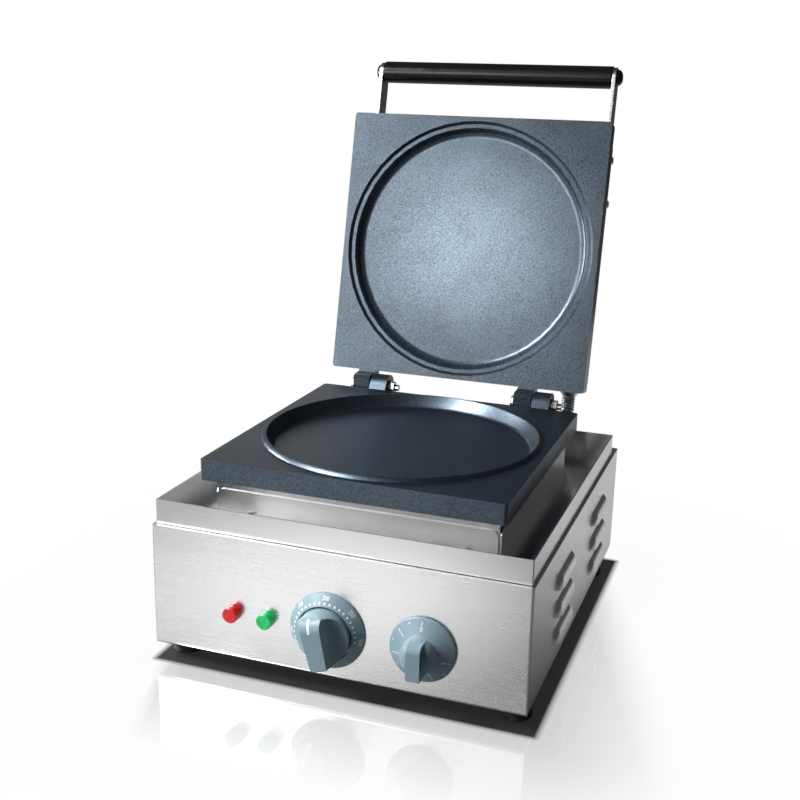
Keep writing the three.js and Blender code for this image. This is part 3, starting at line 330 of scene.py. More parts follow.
# %% [markdown]
# A casting and a moulding have a fine grain from the mould. It is two noises: a fine one for the grains, and
# a broad one at a quarter of its strength, so that the grain isn't the same all over.

# %% Fine grain of a casting or a moulding
BROAD_STRENGTH = 0.25
grain, given, result = new_group(
    "fine_grain",
    [("Grain size", "Float", 900.0),
     ("Dark", "Color", (0.02, 0.02, 0.03, 1)), ("Light", "Color", (0.05, 0.05, 0.06, 1))],
    [("Color", "Color"), ("Height", "Float")],
)
place = object_place(grain)
speckle = noise(grain, place, Scale=given["Grain size"], Detail=3.0, Roughness=0.65)
broad = noise(grain, place, Scale=22.0, Detail=3.0)
shade = remap(grain, calculate(grain, "MULTIPLY_ADD", broad, BROAD_STRENGTH, speckle), 0.47, 0.77)
feed(grain, result["Color"], mix_colors(grain, shade, given["Dark"], given["Light"]))
feed(grain, result["Height"], speckle)
print(grain.name, "takes", [socket.name for socket in given if socket.name])

# %% [markdown]
# ## Finishes
#
# Each finish is a function that returns a material, so the same recipe can serve pieces that are brushed in
# different directions. Brushed stainless is a metal, so its colour tints what it reflects. Its scratches
# change the colour and the gloss more than the height, because a bump this fine only gives noise.

# %% Brushed stainless sheet


def add_bump(tree, shader, height, strength, distance):
    """Feeds a height into the shader's normal."""
    bump = add_node(tree, "ShaderNodeBump", Strength=strength, Distance=distance)
    feed(tree, bump.inputs["Height"], height)
    feed(tree, shader.inputs["Normal"], bump.outputs["Normal"])


def brushed_stainless(name, stretch, dark=(0.84, 0.84, 0.845), light=(0.9, 0.9, 0.905), gloss=(0.22, 0.30)):
    """Brushed stainless steel whose scratches run along the directions with a small stretch."""
    material, tree, shader = new_material(name, light, gloss[0], 1.0)
    scratched = use_group(
        tree, brushed, Stretch=stretch, Dark=(*dark, 1), Light=(*light, 1), Smooth=gloss[0], Rough=gloss[1])
    patchy = use_group(tree, wiped, Roughness=scratched["Roughness"], Spread=0.03)
    feed(tree, shader.inputs["Base Color"], scratched["Color"])
    feed(tree, shader.inputs["Roughness"], patchy["Roughness"])
    add_bump(tree, shader, scratched["Height"], strength=0.016, distance=0.00002)
    return material


case_steel = brushed_stainless("case_stainless", (14, 14, 2600))
# The tray and the arms are the same stainless as the case, given darker colours as painted shade.
tray_steel = brushed_stainless(
    "tray_stainless", (16, 16, 2400), (0.77, 0.77, 0.772), (0.85, 0.85, 0.852), gloss=(0.14, 0.22))
lid_steel = brushed_stainless("lid_stainless", (2600, 14, 14))
arm_steel = brushed_stainless(
    "arm_stainless", (14, 2600, 14), (0.54, 0.54, 0.54), (0.68, 0.68, 0.68), gloss=(0.22, 0.3))
print("four brushed steels")

# %% [markdown]
# The plates are castings with a baked non-stick coat. It is almost black with a blue cast, satin, and a
# little metallic, because the coat is thin over a machined face. Both plates carry the same coat, but each
# has its own values: the lid's coat is given more shine, and the two colours differ to match how each plate
# is lit, which is painted light and shade.

# %% Coated castings


def coated_casting(name, dark, light, roughness, metallic):
    """A satin non-stick coat over a fine-grained casting."""
    material, tree, shader = new_material(name, light, roughness, metallic)
    speckled = use_group(tree, grain, Grain_size=720.0, Dark=(*dark, 1), Light=(*light, 1))
    patchy = use_group(tree, wiped, Roughness=roughness, Spread=0.005, Patch_size=9.0)
    feed(tree, shader.inputs["Base Color"], speckled["Color"])
    feed(tree, shader.inputs["Roughness"], patchy["Roughness"])
    add_bump(tree, shader, speckled["Height"], strength=0.5, distance=0.0002)
    return material


# The lid's coat is darker and less metallic than the lower plate's: painted light and shade, not a different
# coat.
lower_coat = coated_casting(
    "lower_plate_coat", (0.056, 0.072, 0.092), (0.098, 0.128, 0.161), roughness=0.34, metallic=0.92)
upper_coat = coated_casting(
    "upper_plate_coat", (0.02, 0.029, 0.039), (0.062, 0.088, 0.116), roughness=0.235, metallic=0.5)
print("two coats:", lower_coat.name, "and", upper_coat.name)

# %% [markdown]
# Screws, nuts, glands and the conduit are plated steel: duller than the sheet and not brushed. The elements
# are the same steel after heating, brown-grey and dull. The grain group gives them a slight unevenness.

# %% Plated and heated steel
GRAIN_SHADE = 0.85


def plated_steel(name, color, roughness):
    """Plain plated metal with soft patches in its gloss."""
    material, tree, shader = new_material(name, color, roughness, 1.0)
    dark = [c * GRAIN_SHADE for c in color]
    patchy = use_group(tree, wiped, Roughness=roughness, Spread=0.07, Patch_size=60.0)
    speckled = use_group(tree, grain, Grain_size=2500.0, Dark=(*dark, 1), Light=(*color, 1))
    feed(tree, shader.inputs["Roughness"], patchy["Roughness"])
    feed(tree, shader.inputs["Base Color"], speckled["Color"])
    return material


zinc = plated_steel("zinc_plate", (0.66, 0.67, 0.69), 0.28)
conduit_metal = plated_steel("conduit_plate", (0.55, 0.56, 0.58), 0.32)
sheath = plated_steel("heater_sheath", (0.20, 0.17, 0.15), 0.5)
brass = plated_steel("brass_bulb", (0.69, 0.52, 0.27), 0.35)
print("four plated or heated metals")

# %% [markdown]
# The knobs are moulded in a blue-grey plastic with a satin face. The handle is glossy black. The feet and
# the seals are soft, so they scatter light and show no sharp highlight. All of them are the one recipe with
# other colours, because a mould leaves the same kind of grain on each.

# %% Plastics and rubber


def moulding(name, dark, light, roughness, grain_size=1800.0, bump=0.12, **shader_values):
    """A moulded plastic or rubber with a faint grain."""
    material, tree, shader = new_material(name, light, roughness, **shader_values)
    speckled = use_group(tree, grain, Grain_size=grain_size, Dark=(*dark, 1), Light=(*light, 1))
    patchy = use_group(tree, wiped, Roughness=roughness, Spread=0.05, Patch_size=40.0)
    feed(tree, shader.inputs["Base Color"], speckled["Color"])
    feed(tree, shader.inputs["Roughness"], patchy["Roughness"])
    add_bump(tree, shader, speckled["Height"], strength=bump, distance=0.00003)
    return material


knob_plastic = moulding(
    "knob_plastic", (0.20, 0.295, 0.345), (0.245, 0.345, 0.395), 0.43, Specular_IOR_Level=0.34)
black_gloss = moulding(
    "handle_black", (0.004, 0.004, 0.005), (0.009, 0.009, 0.011), 0.2, bump=0.03, Specular_IOR_Level=0.3)
black_satin = moulding("gland_black", (0.012, 0.012, 0.013), (0.025, 0.025, 0.027), 0.42)
foot_rubber = moulding(
    "foot_rubber", (0.012, 0.012, 0.012), (0.03, 0.03, 0.03), 0.75, grain_size=900.0, bump=0.3)
control_beige = moulding("control_housing", (0.55, 0.53, 0.48), (0.65, 0.63, 0.58), 0.5)
print_white = moulding("dial_print", (0.78, 0.80, 0.81), (0.86, 0.87, 0.88), 0.5)
print("six plastics and rubbers")

# %% [markdown]
# A pilot lens is a clear coloured cap with a small neon lamp behind it. Real glass in front of a lamp would
# be slow and would look black from most sides. A smooth coat over a saturated colour, with a little glow of
# its own, reads as a lens from any side. Where it is seen edge on, its colour is painted darker, as painted
# shade.

# %% Pilot lenses
EDGE_SHADE = 0.1


def pilot_lens(name, dark, light, glow):
    """A glossy coloured lens that glows a little from within."""
    material, tree, shader = new_material(
        name, light, 0.25, Coat_Weight=0.4, Coat_Roughness=0.08, Specular_IOR_Level=0.4,
        Emission_Strength=glow)
    speckled = use_group(tree, grain, Grain_size=240.0, Dark=(*dark, 1), Light=(*light, 1))
    # Painted shade: the colour darkens where the lens is seen edge on.
    edge_on = add_node(tree, "ShaderNodeLayerWeight", Blend=0.42).outputs["Facing"]
    painted_edge_dark = [c * EDGE_SHADE for c in dark]
    shaded = mix_colors(tree, edge_on, speckled["Color"], (*painted_edge_dark, 1))
    feed(tree, shader.inputs["Base Color"], shaded)
    feed(tree, shader.inputs["Emission Color"], shaded)
    return material


red_lens = pilot_lens("red_lens", (0.55, 0.003, 0.006), (0.80, 0.008, 0.012), 0.25)
green_lens = pilot_lens("green_lens", (0.0, 0.36, 0.09), (0.0, 0.62, 0.15), 0.28)
print("two lens colours")

# %% [markdown]
# The CAD record gives each node a material slot, such as stainless or rubber. That is enough for the hidden
# pieces. The pieces that the eye rests on are named here, so that each is brushed along its own length or
# has its own colour.

# %% Give each CAD node its finish
FINISH_OF_NODE = {
    "case_shell": case_steel,
    "rear_panel": case_steel,
    "bottom_cover": case_steel,
    "drip_tray": tray_steel,
    "heater_box": tray_steel,
    "lid_cover": lid_steel,
    "left_arm": arm_steel,
    "right_arm": arm_steel,
    "lower_plate": lower_coat,
    "upper_plate": upper_coat,
    "conduit": conduit_metal,
    "conduit_case_gland": zinc,
    "conduit_lid_gland": zinc,
    "power_cable_gland": black_satin,
    "handle_grip": black_gloss,
    "left_handle_screw": black_gloss,
    "right_handle_screw": black_gloss,
    "red_pilot_lamp": red_lens,
    "green_pilot_lamp": green_lens,
    "thermostat_bulb": brass,
}
FINISH_OF_SLOT = {
    "stainless": case_steel,
    "zinc_steel": zinc,
    "heater_sheath": sheath,
    "knob_plastic": knob_plastic,
    "control_housing": control_beige,
    "rubber": foot_rubber,
}
slot_of_node = {entry["node"]: entry["material_slot"] for entry in frame["record"]["subparts"]}


def set_material(thing, material):
    """The piece's only material."""
    thing.data.materials.clear()
    thing.data.materials.append(material)


for name, node in nodes.items():
    set_material(node, FINISH_OF_NODE.get(name) or FINISH_OF_SLOT[slot_of_node[name]])
print(len(FINISH_OF_NODE), "nodes have a finish by name, the others by slot")

# %% [markdown]
# ## Softened edges
#
# A real edge is never perfectly sharp, and a turned face is not made of flats. The CAD meshes keep their own
# points, so both are done with modifiers: one joins the faces and shades shallow angles smooth, one rounds
# the sharp edges by a fraction of a millimetre, and one evens out the shading of the large faces beside them.

# %% Smooth shading by angle, as a modifier
SHARP_ANGLE = math.radians(32)
SAME_POINT = 0.000002


def build_smoothing():
    """A geometry node tree that joins equal points and keeps only edges over the sharp angle sharp."""
    tree = bpy.data.node_groups.new("smooth_by_angle", "GeometryNodeTree")
    tree.interface.new_socket("Geometry", in_out="INPUT", socket_type="NodeSocketGeometry")
    tree.interface.new_socket("Geometry", in_out="OUTPUT", socket_type="NodeSocketGeometry")
    start, end = tree.nodes.new("NodeGroupInput"), tree.nodes.new("NodeGroupOutput")
    joined = add_node(tree, "GeometryNodeMergeByDistance", Distance=SAME_POINT)
    smooth_faces = add_node(tree, "GeometryNodeSetShadeSmooth", domain="FACE")
    smooth_edges = add_node(tree, "GeometryNodeSetShadeSmooth", domain="EDGE")
    angle = add_node(tree, "GeometryNodeInputMeshEdgeAngle").outputs["Unsigned Angle"]
    sharp = add_node(tree, "FunctionNodeCompare", operation="GREATER_THAN")
    feed_in_order(tree, sharp, (angle, SHARP_ANGLE))
    feed(tree, joined.inputs["Geometry"], start.outputs["Geometry"])
    feed(tree, smooth_faces.inputs["Geometry"], joined.outputs["Geometry"])
    feed(tree, smooth_edges.inputs["Geometry"], smooth_faces.outputs["Geometry"])
    feed(tree, smooth_edges.inputs["Selection"], sharp.outputs["Result"])
    feed(tree, smooth_edges.inputs["Shade Smooth"], False)
    feed(tree, end.inputs["Geometry"], smooth_edges.outputs["Geometry"])
    return tree


smoothing = build_smoothing()
print("edges over", round(math.degrees(SHARP_ANGLE)), "degrees stay sharp")

# %% [markdown]
# Only the pieces whose edges catch the light are rounded: the castings, the arms, the knobs and, by less, the
# lid's folded cover. Rounding the thin sheets would eat their thickness, so they are only shaded.

# %% Round the edges of the thick pieces
EDGE_WIDTH_MM = {
    "lower_plate": 0.8,
    "upper_plate": 0.8,
    "lid_cover": 0.3,
    "left_arm": 0.4,
    "right_arm": 0.4,
    "thermostat_knob": 0.6,
    "timer_knob": 0.6,
    "thermostat_dial_ring": 0.3,
}
EDGE_SEGMENTS = 2


def soften(thing, width_mm):
    """Smooth shading by angle, then rounded sharp edges with even shading beside them."""
    modifier = thing.modifiers.new("smooth", "NODES")
    modifier.node_group = smoothing
    if width_mm:
        bevel = thing.modifiers.new("edge", "BEVEL")
        bevel.width = width_mm * MM
        bevel.segments = EDGE_SEGMENTS
        bevel.limit_method = "ANGLE"
        bevel.angle_limit = SHARP_ANGLE
        bevel.use_clamp_overlap = True
    weighted = thing.modifiers.new("shading", "WEIGHTED_NORMAL")
    weighted.keep_sharp = not width_mm


for name, node in nodes.items():
    soften(node, EDGE_WIDTH_MM.get(name, 0.0))
print("softened", len(nodes), "nodes,", len(EDGE_WIDTH_MM), "of them with rounded edges")

# %% [markdown]
# ## Making new pieces
#
# The CAD solids are kept light, so round things have few sides. Pieces that the eye rests on are made again
# here with many sides, in the same place. A piece names its body, so that it moves with it.

# %% A piece from points and faces
MERGE_WITHIN = 0.000001


def new_piece(name, points, faces, material, body=None):
    """A mesh piece that rides on a body, or that is left on no body."""
    mesh = bpy.data.meshes.new(name)
    mesh.from_pydata(points, [], faces)
    builder = bmesh.new()
    builder.from_mesh(mesh)
    bmesh.ops.remove_doubles(builder, verts=builder.verts, dist=MERGE_WITHIN)
    bmesh.ops.recalc_face_normals(builder, faces=builder.faces)
    builder.to_mesh(mesh)
    builder.free()
    piece = bpy.data.objects.new(name, mesh)
    bpy.context.scene.collection.objects.link(piece)
    set_material(piece, material)
    soften(piece, 0.0)
    if body:
        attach(piece, body)
    return piece


def joined(*forms):
    """Several (points, faces) forms as one."""
    points, faces = [], []
    for more_points, more_faces in forms:
        start = len(points)
        points += more_points
        faces += [tuple(start + i for i in face) for face in more_faces]
    return points, faces


def moved(form, matrix):
    """A form carried by a matrix."""
    points, faces = form
    return [matrix @ point for point in points], faces


print("a form is a list of points with a list of faces")

# %% [markdown]
# Several of the new pieces are turned, like parts from a lathe: a profile of radius and height is swept round
# an axis. A cylinder could be bevelled instead, but a profile gives each rounding its own radius, and its
# points can be read off the drawing.

# %% Turned forms


def turned_form(profile_mm, sides):
    """Points and faces of a profile of (radius, height) in millimetres, swept round the z axis."""
    points, faces = [], []
    for radius, height in profile_mm:
        for i in range(sides):
            angle = 2 * math.pi * i / sides
            points.append(Vector((radius * math.cos(angle), radius * math.sin(angle), height)) * MM)
    for k in range(len(profile_mm) - 1):
        for i in range(sides):
            j = (i + 1) % sides
            faces.append((k * sides + i, k * sides + j, (k + 1) * sides + j, (k + 1) * sides + i))
    return points, faces


def arc(radius, height, round_radius, start, end, steps=6):
    """Profile points of a rounded corner about (radius, height), from one angle to another in degrees."""
    angles = [math.radians(start + (end - start) * i / steps) for i in range(steps + 1)]
    return [(radius + round_radius * math.cos(a), height + round_radius * math.sin(a)) for a in angles]


def frame_at(origin, axis):
    """A matrix whose z axis runs along the given axis from the origin."""
    axis = Vector(axis).normalized()
    side = axis.orthogonal()
    across = (side - axis * side.dot(axis)).normalized()
    turn = Matrix((across, axis.cross(across), axis)).transposed().to_4x4()
    return Matrix.Translation(origin) @ turn


print("a quarter round has", len(arc(0, 0, 1, 0, 90)), "points")

# %% [markdown]
# ## The ribbed conduit
#
# The wires to the lid run through a flexible metal conduit. It is a tube of many close ribs, so it bends
# freely while its length hardly changes. It leaves the gland on the case to the right, turns up, and enters
# the lid's gland from below. The route is the same as in the drawing: straight, one smooth bend, straight.
# A curve object with a bevel would give a plain tube, so the ribs are laid along the route ring by ring.

# %% Route of the conduit
CONDUIT_RADIUS = 6.2
STRAIGHT = 2 * CONDUIT_RADIUS * MM
CASE_GLAND_MOUTH = (38.3, 318.75, 125.9)
LID_GLAND_X, LID_GLAND_MOUTH, LID_GLAND_BEHIND = 103, -4.3, 33
BELOW_MOUTH = 6
LEAVING_REACH, ARRIVING_REACH = 34, 15
BEND_STEPS = 200

case_exit = at(*CASE_GLAND_MOUTH)
lid_exit = on_lid(LID_GLAND_X, LID_GLAND_MOUTH, LID_GLAND_BEHIND)
toward_right = Vector((1, 0, 0))
below_lid_exit = on_lid(LID_GLAND_X, LID_GLAND_MOUTH - BELOW_MOUTH, LID_GLAND_BEHIND)
out_of_lid = (below_lid_exit - lid_exit).normalized()
leaving = case_exit + toward_right * STRAIGHT
arriving = lid_exit + out_of_lid * STRAIGHT
bend = [
    leaving,
    leaving + toward_right * LEAVING_REACH * MM,
    arriving + out_of_lid * ARRIVING_REACH * MM,
    arriving,
]


def bend_point(t):
    """A point on the cubic curve between the two straight ends."""
    a, b, c, d = bend
    return a * (1 - t) ** 3 + b * 3 * t * (1 - t) ** 2 + c * 3 * t * t * (1 - t) + d * t ** 3


def even_points(points, step):
    """The same route as points that lie one step apart."""
    walked, out = 0.0, [points[0]]
    for before, after in zip(points, points[1:]):
        length = (after - before).length
        while walked + length >= step:
            part = (step - walked) / length
            before = before.lerp(after, part)
            length = (after - before).length
            walked = 0.0
            out.append(before)
        walked += length
    return out


RIB_PITCH = 2.4
STEPS_PER_RIB = 8
rough_route = [case_exit] + [bend_point(i / BEND_STEPS) for i in range(BEND_STEPS + 1)] + [lid_exit]
route = even_points(rough_route, RIB_PITCH / STEPS_PER_RIB * MM)
print("conduit is", round(sum((b - a).length for a, b in zip(route, route[1:])) / MM), "mm long")

# %% [markdown]
# Each rib swells and sinks like one arch of a sine wave. The conduit crosses the hinge, so it is left on no
# body.

# %% Ribs along the route
SIDES = 36
RIB_HEIGHT, RIB_FULLNESS = 1.1, 0.7
points, faces = [], []
across = Vector((0, 0, 1))
for i, place in enumerate(route):
    ahead = (route[min(i + 1, len(route) - 1)] - route[max(i - 1, 0)]).normalized()
    across = (across - ahead * across.dot(ahead)).normalized()
    other = ahead.cross(across)
    swell = abs(math.sin(math.pi * i / STEPS_PER_RIB)) ** RIB_FULLNESS
    radius = (CONDUIT_RADIUS - RIB_HEIGHT + RIB_HEIGHT * swell) * MM
    for k in range(SIDES):
        angle = 2 * math.pi * k / SIDES
        points.append(place + (across * math.cos(angle) + other * math.sin(angle)) * radius)
for i in range(len(route) - 1):
    for k in range(SIDES):
        nxt = (k + 1) % SIDES
        faces.append((i * SIDES + k, i * SIDES + nxt, (i + 1) * SIDES + nxt, (i + 1) * SIDES + k))
hose = new_piece("ribbed_conduit", points, faces, conduit_metal)
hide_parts("conduit")
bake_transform(hose)
print(hose.name, "has", len(route), "rings")

# %% [markdown]
# ## Print on the dials
#
# The dials carry plain numbers. An image could hold them, but it would blur close up. So each number is made
# as text, turned to a mesh, and laid on the sloping face of its dial: every point goes out to its own radius
# and angle, and up to the height of the face there.

# %% Helpers for print
CONTROL_HEIGHT = 53
THERMOSTAT_X = -3
TIMER_X = 71.5
PRINT_LIFT = 0.12
INK_SPREAD = 0.02


def number_form(text, size_mm):
    """The flat outline of a number, centred on the origin, in millimetres."""
    curve = bpy.data.curves.new("number", "FONT")
    curve.body = text
    curve.size = size_mm
    curve.align_x, curve.align_y = "CENTER", "CENTER"
    curve.offset = INK_SPREAD * size_mm
    writer = bpy.data.objects.new("number", curve)
    bpy.context.scene.collection.objects.link(writer)
    bpy.context.view_layer.update()
    mesh = writer.to_mesh()
    form = [Vector(v.co) for v in mesh.vertices], [tuple(p.vertices) for p in mesh.polygons]
    writer.to_mesh_clear()
    bpy.data.objects.remove(writer)
    return form


def bar_form(width, length):
    """A flat upright bar, in millimetres."""
    x, y = width / 2, length / 2
    return [Vector(corner) for corner in ((-x, -y, 0), (x, -y, 0), (x, y, 0), (-x, y, 0))], [(0, 1, 2, 3)]


def dot_form(radius, sides=16):
    """A flat round dot, in millimetres."""
    angles = [2 * math.pi * i / sides for i in range(sides)]
    return [Vector((radius * math.cos(a), radius * math.sin(a), 0)) for a in angles], [tuple(range(sides))]


def laid_on_dial(form, x, radius, clockwise, height_at):
    """A flat form laid on a dial at x, at this radius and this many degrees clockwise from the top."""
    points, faces = form
    out = []
    for point in points:
        r = radius + point.y
        angle = math.radians(clockwise) + point.x / radius
        sideways, up = r * math.sin(angle), r * math.cos(angle)
        out.append(at(x + sideways, -height_at(r) - PRINT_LIFT, CONTROL_HEIGHT + up))
    return out, faces


def slope(inner_edge, outer_edge):
    """The height of a cone between two edges given as (radius, height), as a function of the radius."""
    (r0, h0), (r1, h1) = inner_edge, outer_edge
    return lambda r: h0 + (h1 - h0) * (r - r0) / (r1 - r0)


print("a dot has", len(dot_form(1)[0]), "points")

# %% [markdown]
# The thermostat's ring is fixed to the panel, and its knob points at it. It has a number for every fifty
# degrees and a dot for every ten, with 200 at the top.

# %% Thermostat ring: numbers and dots
LOWEST, HIGHEST, VALUE_AT_TOP = 50, 300, 200
NUMBER_EVERY, DOT_EVERY, TURN_PER_NUMBER = 50, 10, 48
RING_NUMBER_SIZE, RING_NUMBER_RADIUS = 3.7, 27.4
RING_DOT_SIZE, RING_DOT_RADIUS = 0.8, 24.2
ring_face = slope((22.2, 8.0), (29.0, 2.6))


def on_ring(form, radius, value):
    """A form laid on the ring at this radius, where this temperature stands."""
    clockwise = (value - VALUE_AT_TOP) / NUMBER_EVERY * TURN_PER_NUMBER
    return laid_on_dial(form, THERMOSTAT_X, radius, clockwise, ring_face)


marks = []
for value in range(LOWEST, HIGHEST + 1, NUMBER_EVERY):
    marks.append(on_ring(number_form(str(value), RING_NUMBER_SIZE), RING_NUMBER_RADIUS, value))
for value in range(LOWEST, HIGHEST + 1, DOT_EVERY):
    marks.append(on_ring(dot_form(RING_DOT_SIZE), RING_DOT_RADIUS, value))
new_piece("thermostat_print", *joined(*marks), print_white, "base")
print(len(marks), "marks on the thermostat")

# %% [markdown]
# The timer's numbers are on the skirt of its knob and turn with it, so they run anticlockwise: the knob is
# wound clockwise, and each number in turn comes to the top. Lines stand at the minutes and dots between them.

# %% Timer skirt: numbers, lines and dots
MINUTES = 5
TURN_PER_MINUTE = joints["timer_turn"]["range_deg"][1] / MINUTES
SKIRT_NUMBER_SIZE, SKIRT_NUMBER_RADIUS = 4.2, 18.0
SKIRT_LINE_WIDTH, SKIRT_LINE_LENGTH, SKIRT_LINE_RADIUS = 0.7, 2.4, 21.6
SKIRT_DOT_SIZE, SKIRT_DOT_RADIUS = 0.6, 22.6
skirt_face = slope((14.6, 8.4), (24.5, 3.2))


def on_skirt(form, radius, minute):
    """A form laid on the timer's skirt at this radius, where this minute stands."""
    return laid_on_dial(form, TIMER_X, radius, -minute * TURN_PER_MINUTE, skirt_face)


marks = []
for minute in range(MINUTES + 1):
    marks.append(on_skirt(number_form(str(minute), SKIRT_NUMBER_SIZE), SKIRT_NUMBER_RADIUS, minute))
    marks.append(on_skirt(bar_form(SKIRT_LINE_WIDTH, SKIRT_LINE_LENGTH), SKIRT_LINE_RADIUS, minute))
for minute in range(MINUTES):
    marks.append(on_skirt(dot_form(SKIRT_DOT_SIZE), SKIRT_DOT_RADIUS, minute + 0.5))
new_piece("timer_print", *joined(*marks), print_white, "timer_dial")
print(len(marks), "marks on the timer")

# %% [markdown]
# The thermostat's pointer is a short white bar on the top of its grip. The grip leans a little anticlockwise.
# Its front is flat and then falls away in an arc, and the bar is a strip of short faces that follows it.

# %% Pointer on the thermostat knob
KNOB_TURN = math.radians(14)
KNOB_HEIGHT, BROW_RADIUS, BROW_START = 28, 11, 9.6
POINTER_START, POINTER_LENGTH, POINTER_STEPS = 9.4, 9.6, 10
POINTER_ACROSS, POINTER_WIDTH = -0.8, 1.9
points = []
for i in range(POINTER_STEPS + 1):
    along = POINTER_START + POINTER_LENGTH * i / POINTER_STEPS
    past_brow = max(along - BROW_START, 0)
    height = KNOB_HEIGHT - BROW_RADIUS + math.sqrt(BROW_RADIUS ** 2 - past_brow ** 2)
    for edge in (-1, 1):
        across = POINTER_ACROSS + edge * POINTER_WIDTH / 2
        x = across * math.cos(KNOB_TURN) - along * math.sin(KNOB_TURN)
        z = across * math.sin(KNOB_TURN) + along * math.cos(KNOB_TURN)
        points.append(at(THERMOSTAT_X + x, -height - PRINT_LIFT, CONTROL_HEIGHT + z))
strips = [(2 * i, 2 * i + 1, 2 * i + 3, 2 * i + 2) for i in range(POINTER_STEPS)]
new_piece("thermostat_pointer", points, strips, print_white, "thermostat_dial")
print("pointer at", [round(c, 3) for c in points[0]])

# %% [markdown]
# ## Handle and pilot lamps
#
# The handle is a plain round grip between the two arms, with a domed screw at each end. Both are turned again
# with many sides, because their round edges catch the light.

# %% Handle grip and its domed ends
PLATE_LENGTH, GRIP_PAST_PLATE, GRIP_BEHIND_FACE = 242, 47.4, 42
GRIP_HALF, GRIP_RADIUS, GRIP_ROUND, GRIP_BORE = 111.0, 10.1, 0.9, 3.4
DOME_FLAT, DOME_ROUND, DOME_HEIGHT, DOME_RADIUS, DOME_RIM = 2.6, 4.8, 4.6, 7.4, 7.0
grip_middle = on_lid(0, PLATE_LENGTH + GRIP_PAST_PLATE, GRIP_BEHIND_FACE)
straight_radius, straight_half = GRIP_RADIUS - GRIP_ROUND, GRIP_HALF - GRIP_ROUND
grip_profile = [(GRIP_BORE, -GRIP_HALF)]
grip_profile += arc(straight_radius, -straight_half, GRIP_ROUND, -90, 0)
grip_profile += arc(straight_radius, straight_half, GRIP_ROUND, 0, 90)
grip_profile += [(GRIP_BORE, GRIP_HALF)]
grip_form = moved(turned_form(grip_profile, sides=72), frame_at(grip_middle, (1, 0, 0)))
grip = new_piece("grip", *grip_form, black_gloss, "lid")
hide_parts("handle_grip")

for side, name in ((-1, "left"), (1, "right")):
    low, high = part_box(name + "_handle_screw")
    outer = max(abs(low.x), abs(high.x)) / MM
    foot = outer - DOME_HEIGHT
    dome = [(0.0, outer)] + arc(DOME_FLAT, outer - DOME_ROUND, DOME_ROUND, 90, 8, steps=10)
    dome += [(DOME_RADIUS, foot), (DOME_RIM, foot), (0.0, foot)]
    cap_form = moved(turned_form(dome, sides=48), frame_at(grip_middle, (side, 0, 0)))
    cap = new_piece(name + "_grip_cap", *cap_form, black_gloss, "lid")
print("grip is", round(2 * GRIP_HALF), "mm long")

# %% [markdown]
# A pilot lamp is a small cap with a rounded rim, in a flat collar on the panel. The profile starts at the
# middle of the front, goes round the rim, back along the side, and out to the collar.

# %% Pilot lamps
LAMP_PROFILE = (
    [(0.0, 7.65), (5.3, 7.65)] + arc(5.3, 6.75, 0.9, 80, 10, steps=4)
    + [(6.28, 2.4), (6.34, 1.6), (6.5, 1.3), (6.5, 0.3), (5.0, 0.3)]
)
for name, lens in (("red", red_lens), ("green", green_lens)):
    low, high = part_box(name + "_pilot_lamp")
    lamp_frame = frame_at(at((low.x + high.x) / 2 / MM, 0, CONTROL_HEIGHT), (0, -1, 0))
    cap = new_piece(name + "_lens", *moved(turned_form(LAMP_PROFILE, sides=40), lamp_frame), lens, "base")
print("two lenses, 13 mm across")

# %% [markdown]
# ## Louvres
#
# A louvre is a slit in the sheet, with the metal above it pressed out into a long hood with round ends. Its
# foot runs into the sheet in a small hollow curve, and its lower edge shows the sheet's thickness. The CAD
# hoods have few faces, so a finer hood fits closely over each one.

# %% One louvre hood
LOUVRE_LENGTH, LOUVRE_HEIGHT, LOUVRE_DEPTH = 62, 11, 5
SHEET = 1.0
HALF_WIDTH = 150
FIT_OVER = 0.15
HOOD_DROP = 0.1
FOOT_FLARE, FOOT_FADE = 0.7, 0.6


def louvre_surface(radius, depth, flare, steps=10, end_steps=9):
    """A grid of points (outward, along, up) in millimetres over a quarter capsule."""
    straight = LOUVRE_LENGTH / 2 - LOUVRE_HEIGHT
    ends = [math.pi / 2 * i / end_steps for i in range(end_steps + 1)]
    stations = [(-straight, -a) for a in reversed(ends)] + [(straight, a) for a in ends]
    rows = []
    for middle, tip in stations:
        row = []
        for k in range(steps + 1):
            lift = math.pi / 2 * k / steps
            out = (depth + SHEET) * math.cos(tip) * math.cos(lift) - SHEET
            foot = flare * math.exp(-max(out, 0) / FOOT_FADE)
            reach = radius * math.cos(tip) * math.sin(lift)
            row.append((out, middle + (radius + foot) * math.sin(tip), reach + foot * math.sin(lift)))
        rows.append(row)
    return rows


def louvre_form(side, y, z):
    """The closed sheet of one hood, its outer face joined to its inner face round the edge."""
    outer = louvre_surface(LOUVRE_HEIGHT + FIT_OVER, LOUVRE_DEPTH + FIT_OVER, FOOT_FLARE)
    inner = louvre_surface(LOUVRE_HEIGHT - SHEET, LOUVRE_DEPTH - SHEET, 0.0)
    columns = len(outer[0])
    points, faces = [], []
    for rows in (outer, inner):
        for row in rows:
            for out, along, up in row:
                points.append(at(side * (HALF_WIDTH + out), y + along, z - HOOD_DROP + up))
    count = len(outer)
    shift = count * columns
    for start in (0, shift):
        for i in range(count - 1):
            for k in range(columns - 1):
                a = start + i * columns + k
                faces.append((a, a + 1, a + columns + 1, a + columns))
    for i in range(count - 1):
        a = i * columns
        faces.append((a, a + columns, shift + a + columns, shift + a))
    return points, faces


print("one hood has", len(louvre_form(1, 0, 0)[1]), "faces")

# %% [markdown]
# Each side of the case has two columns of three louvres. They are one sheet with the case, so all the hoods
# are one piece with the case's own finish.

# %% All the louvre hoods
LOUVRE_COLUMNS = (105, 241)
LOUVRE_ROWS = (80, 57.5, 35)
hoods = []
for side in (-1, 1):
    for y in LOUVRE_COLUMNS:
        for z in LOUVRE_ROWS:
            hoods.append(louvre_form(side, y, z))
louvres = new_piece("louvre_hoods", *joined(*hoods), case_steel, "base")
print(len(hoods), "louvre hoods")

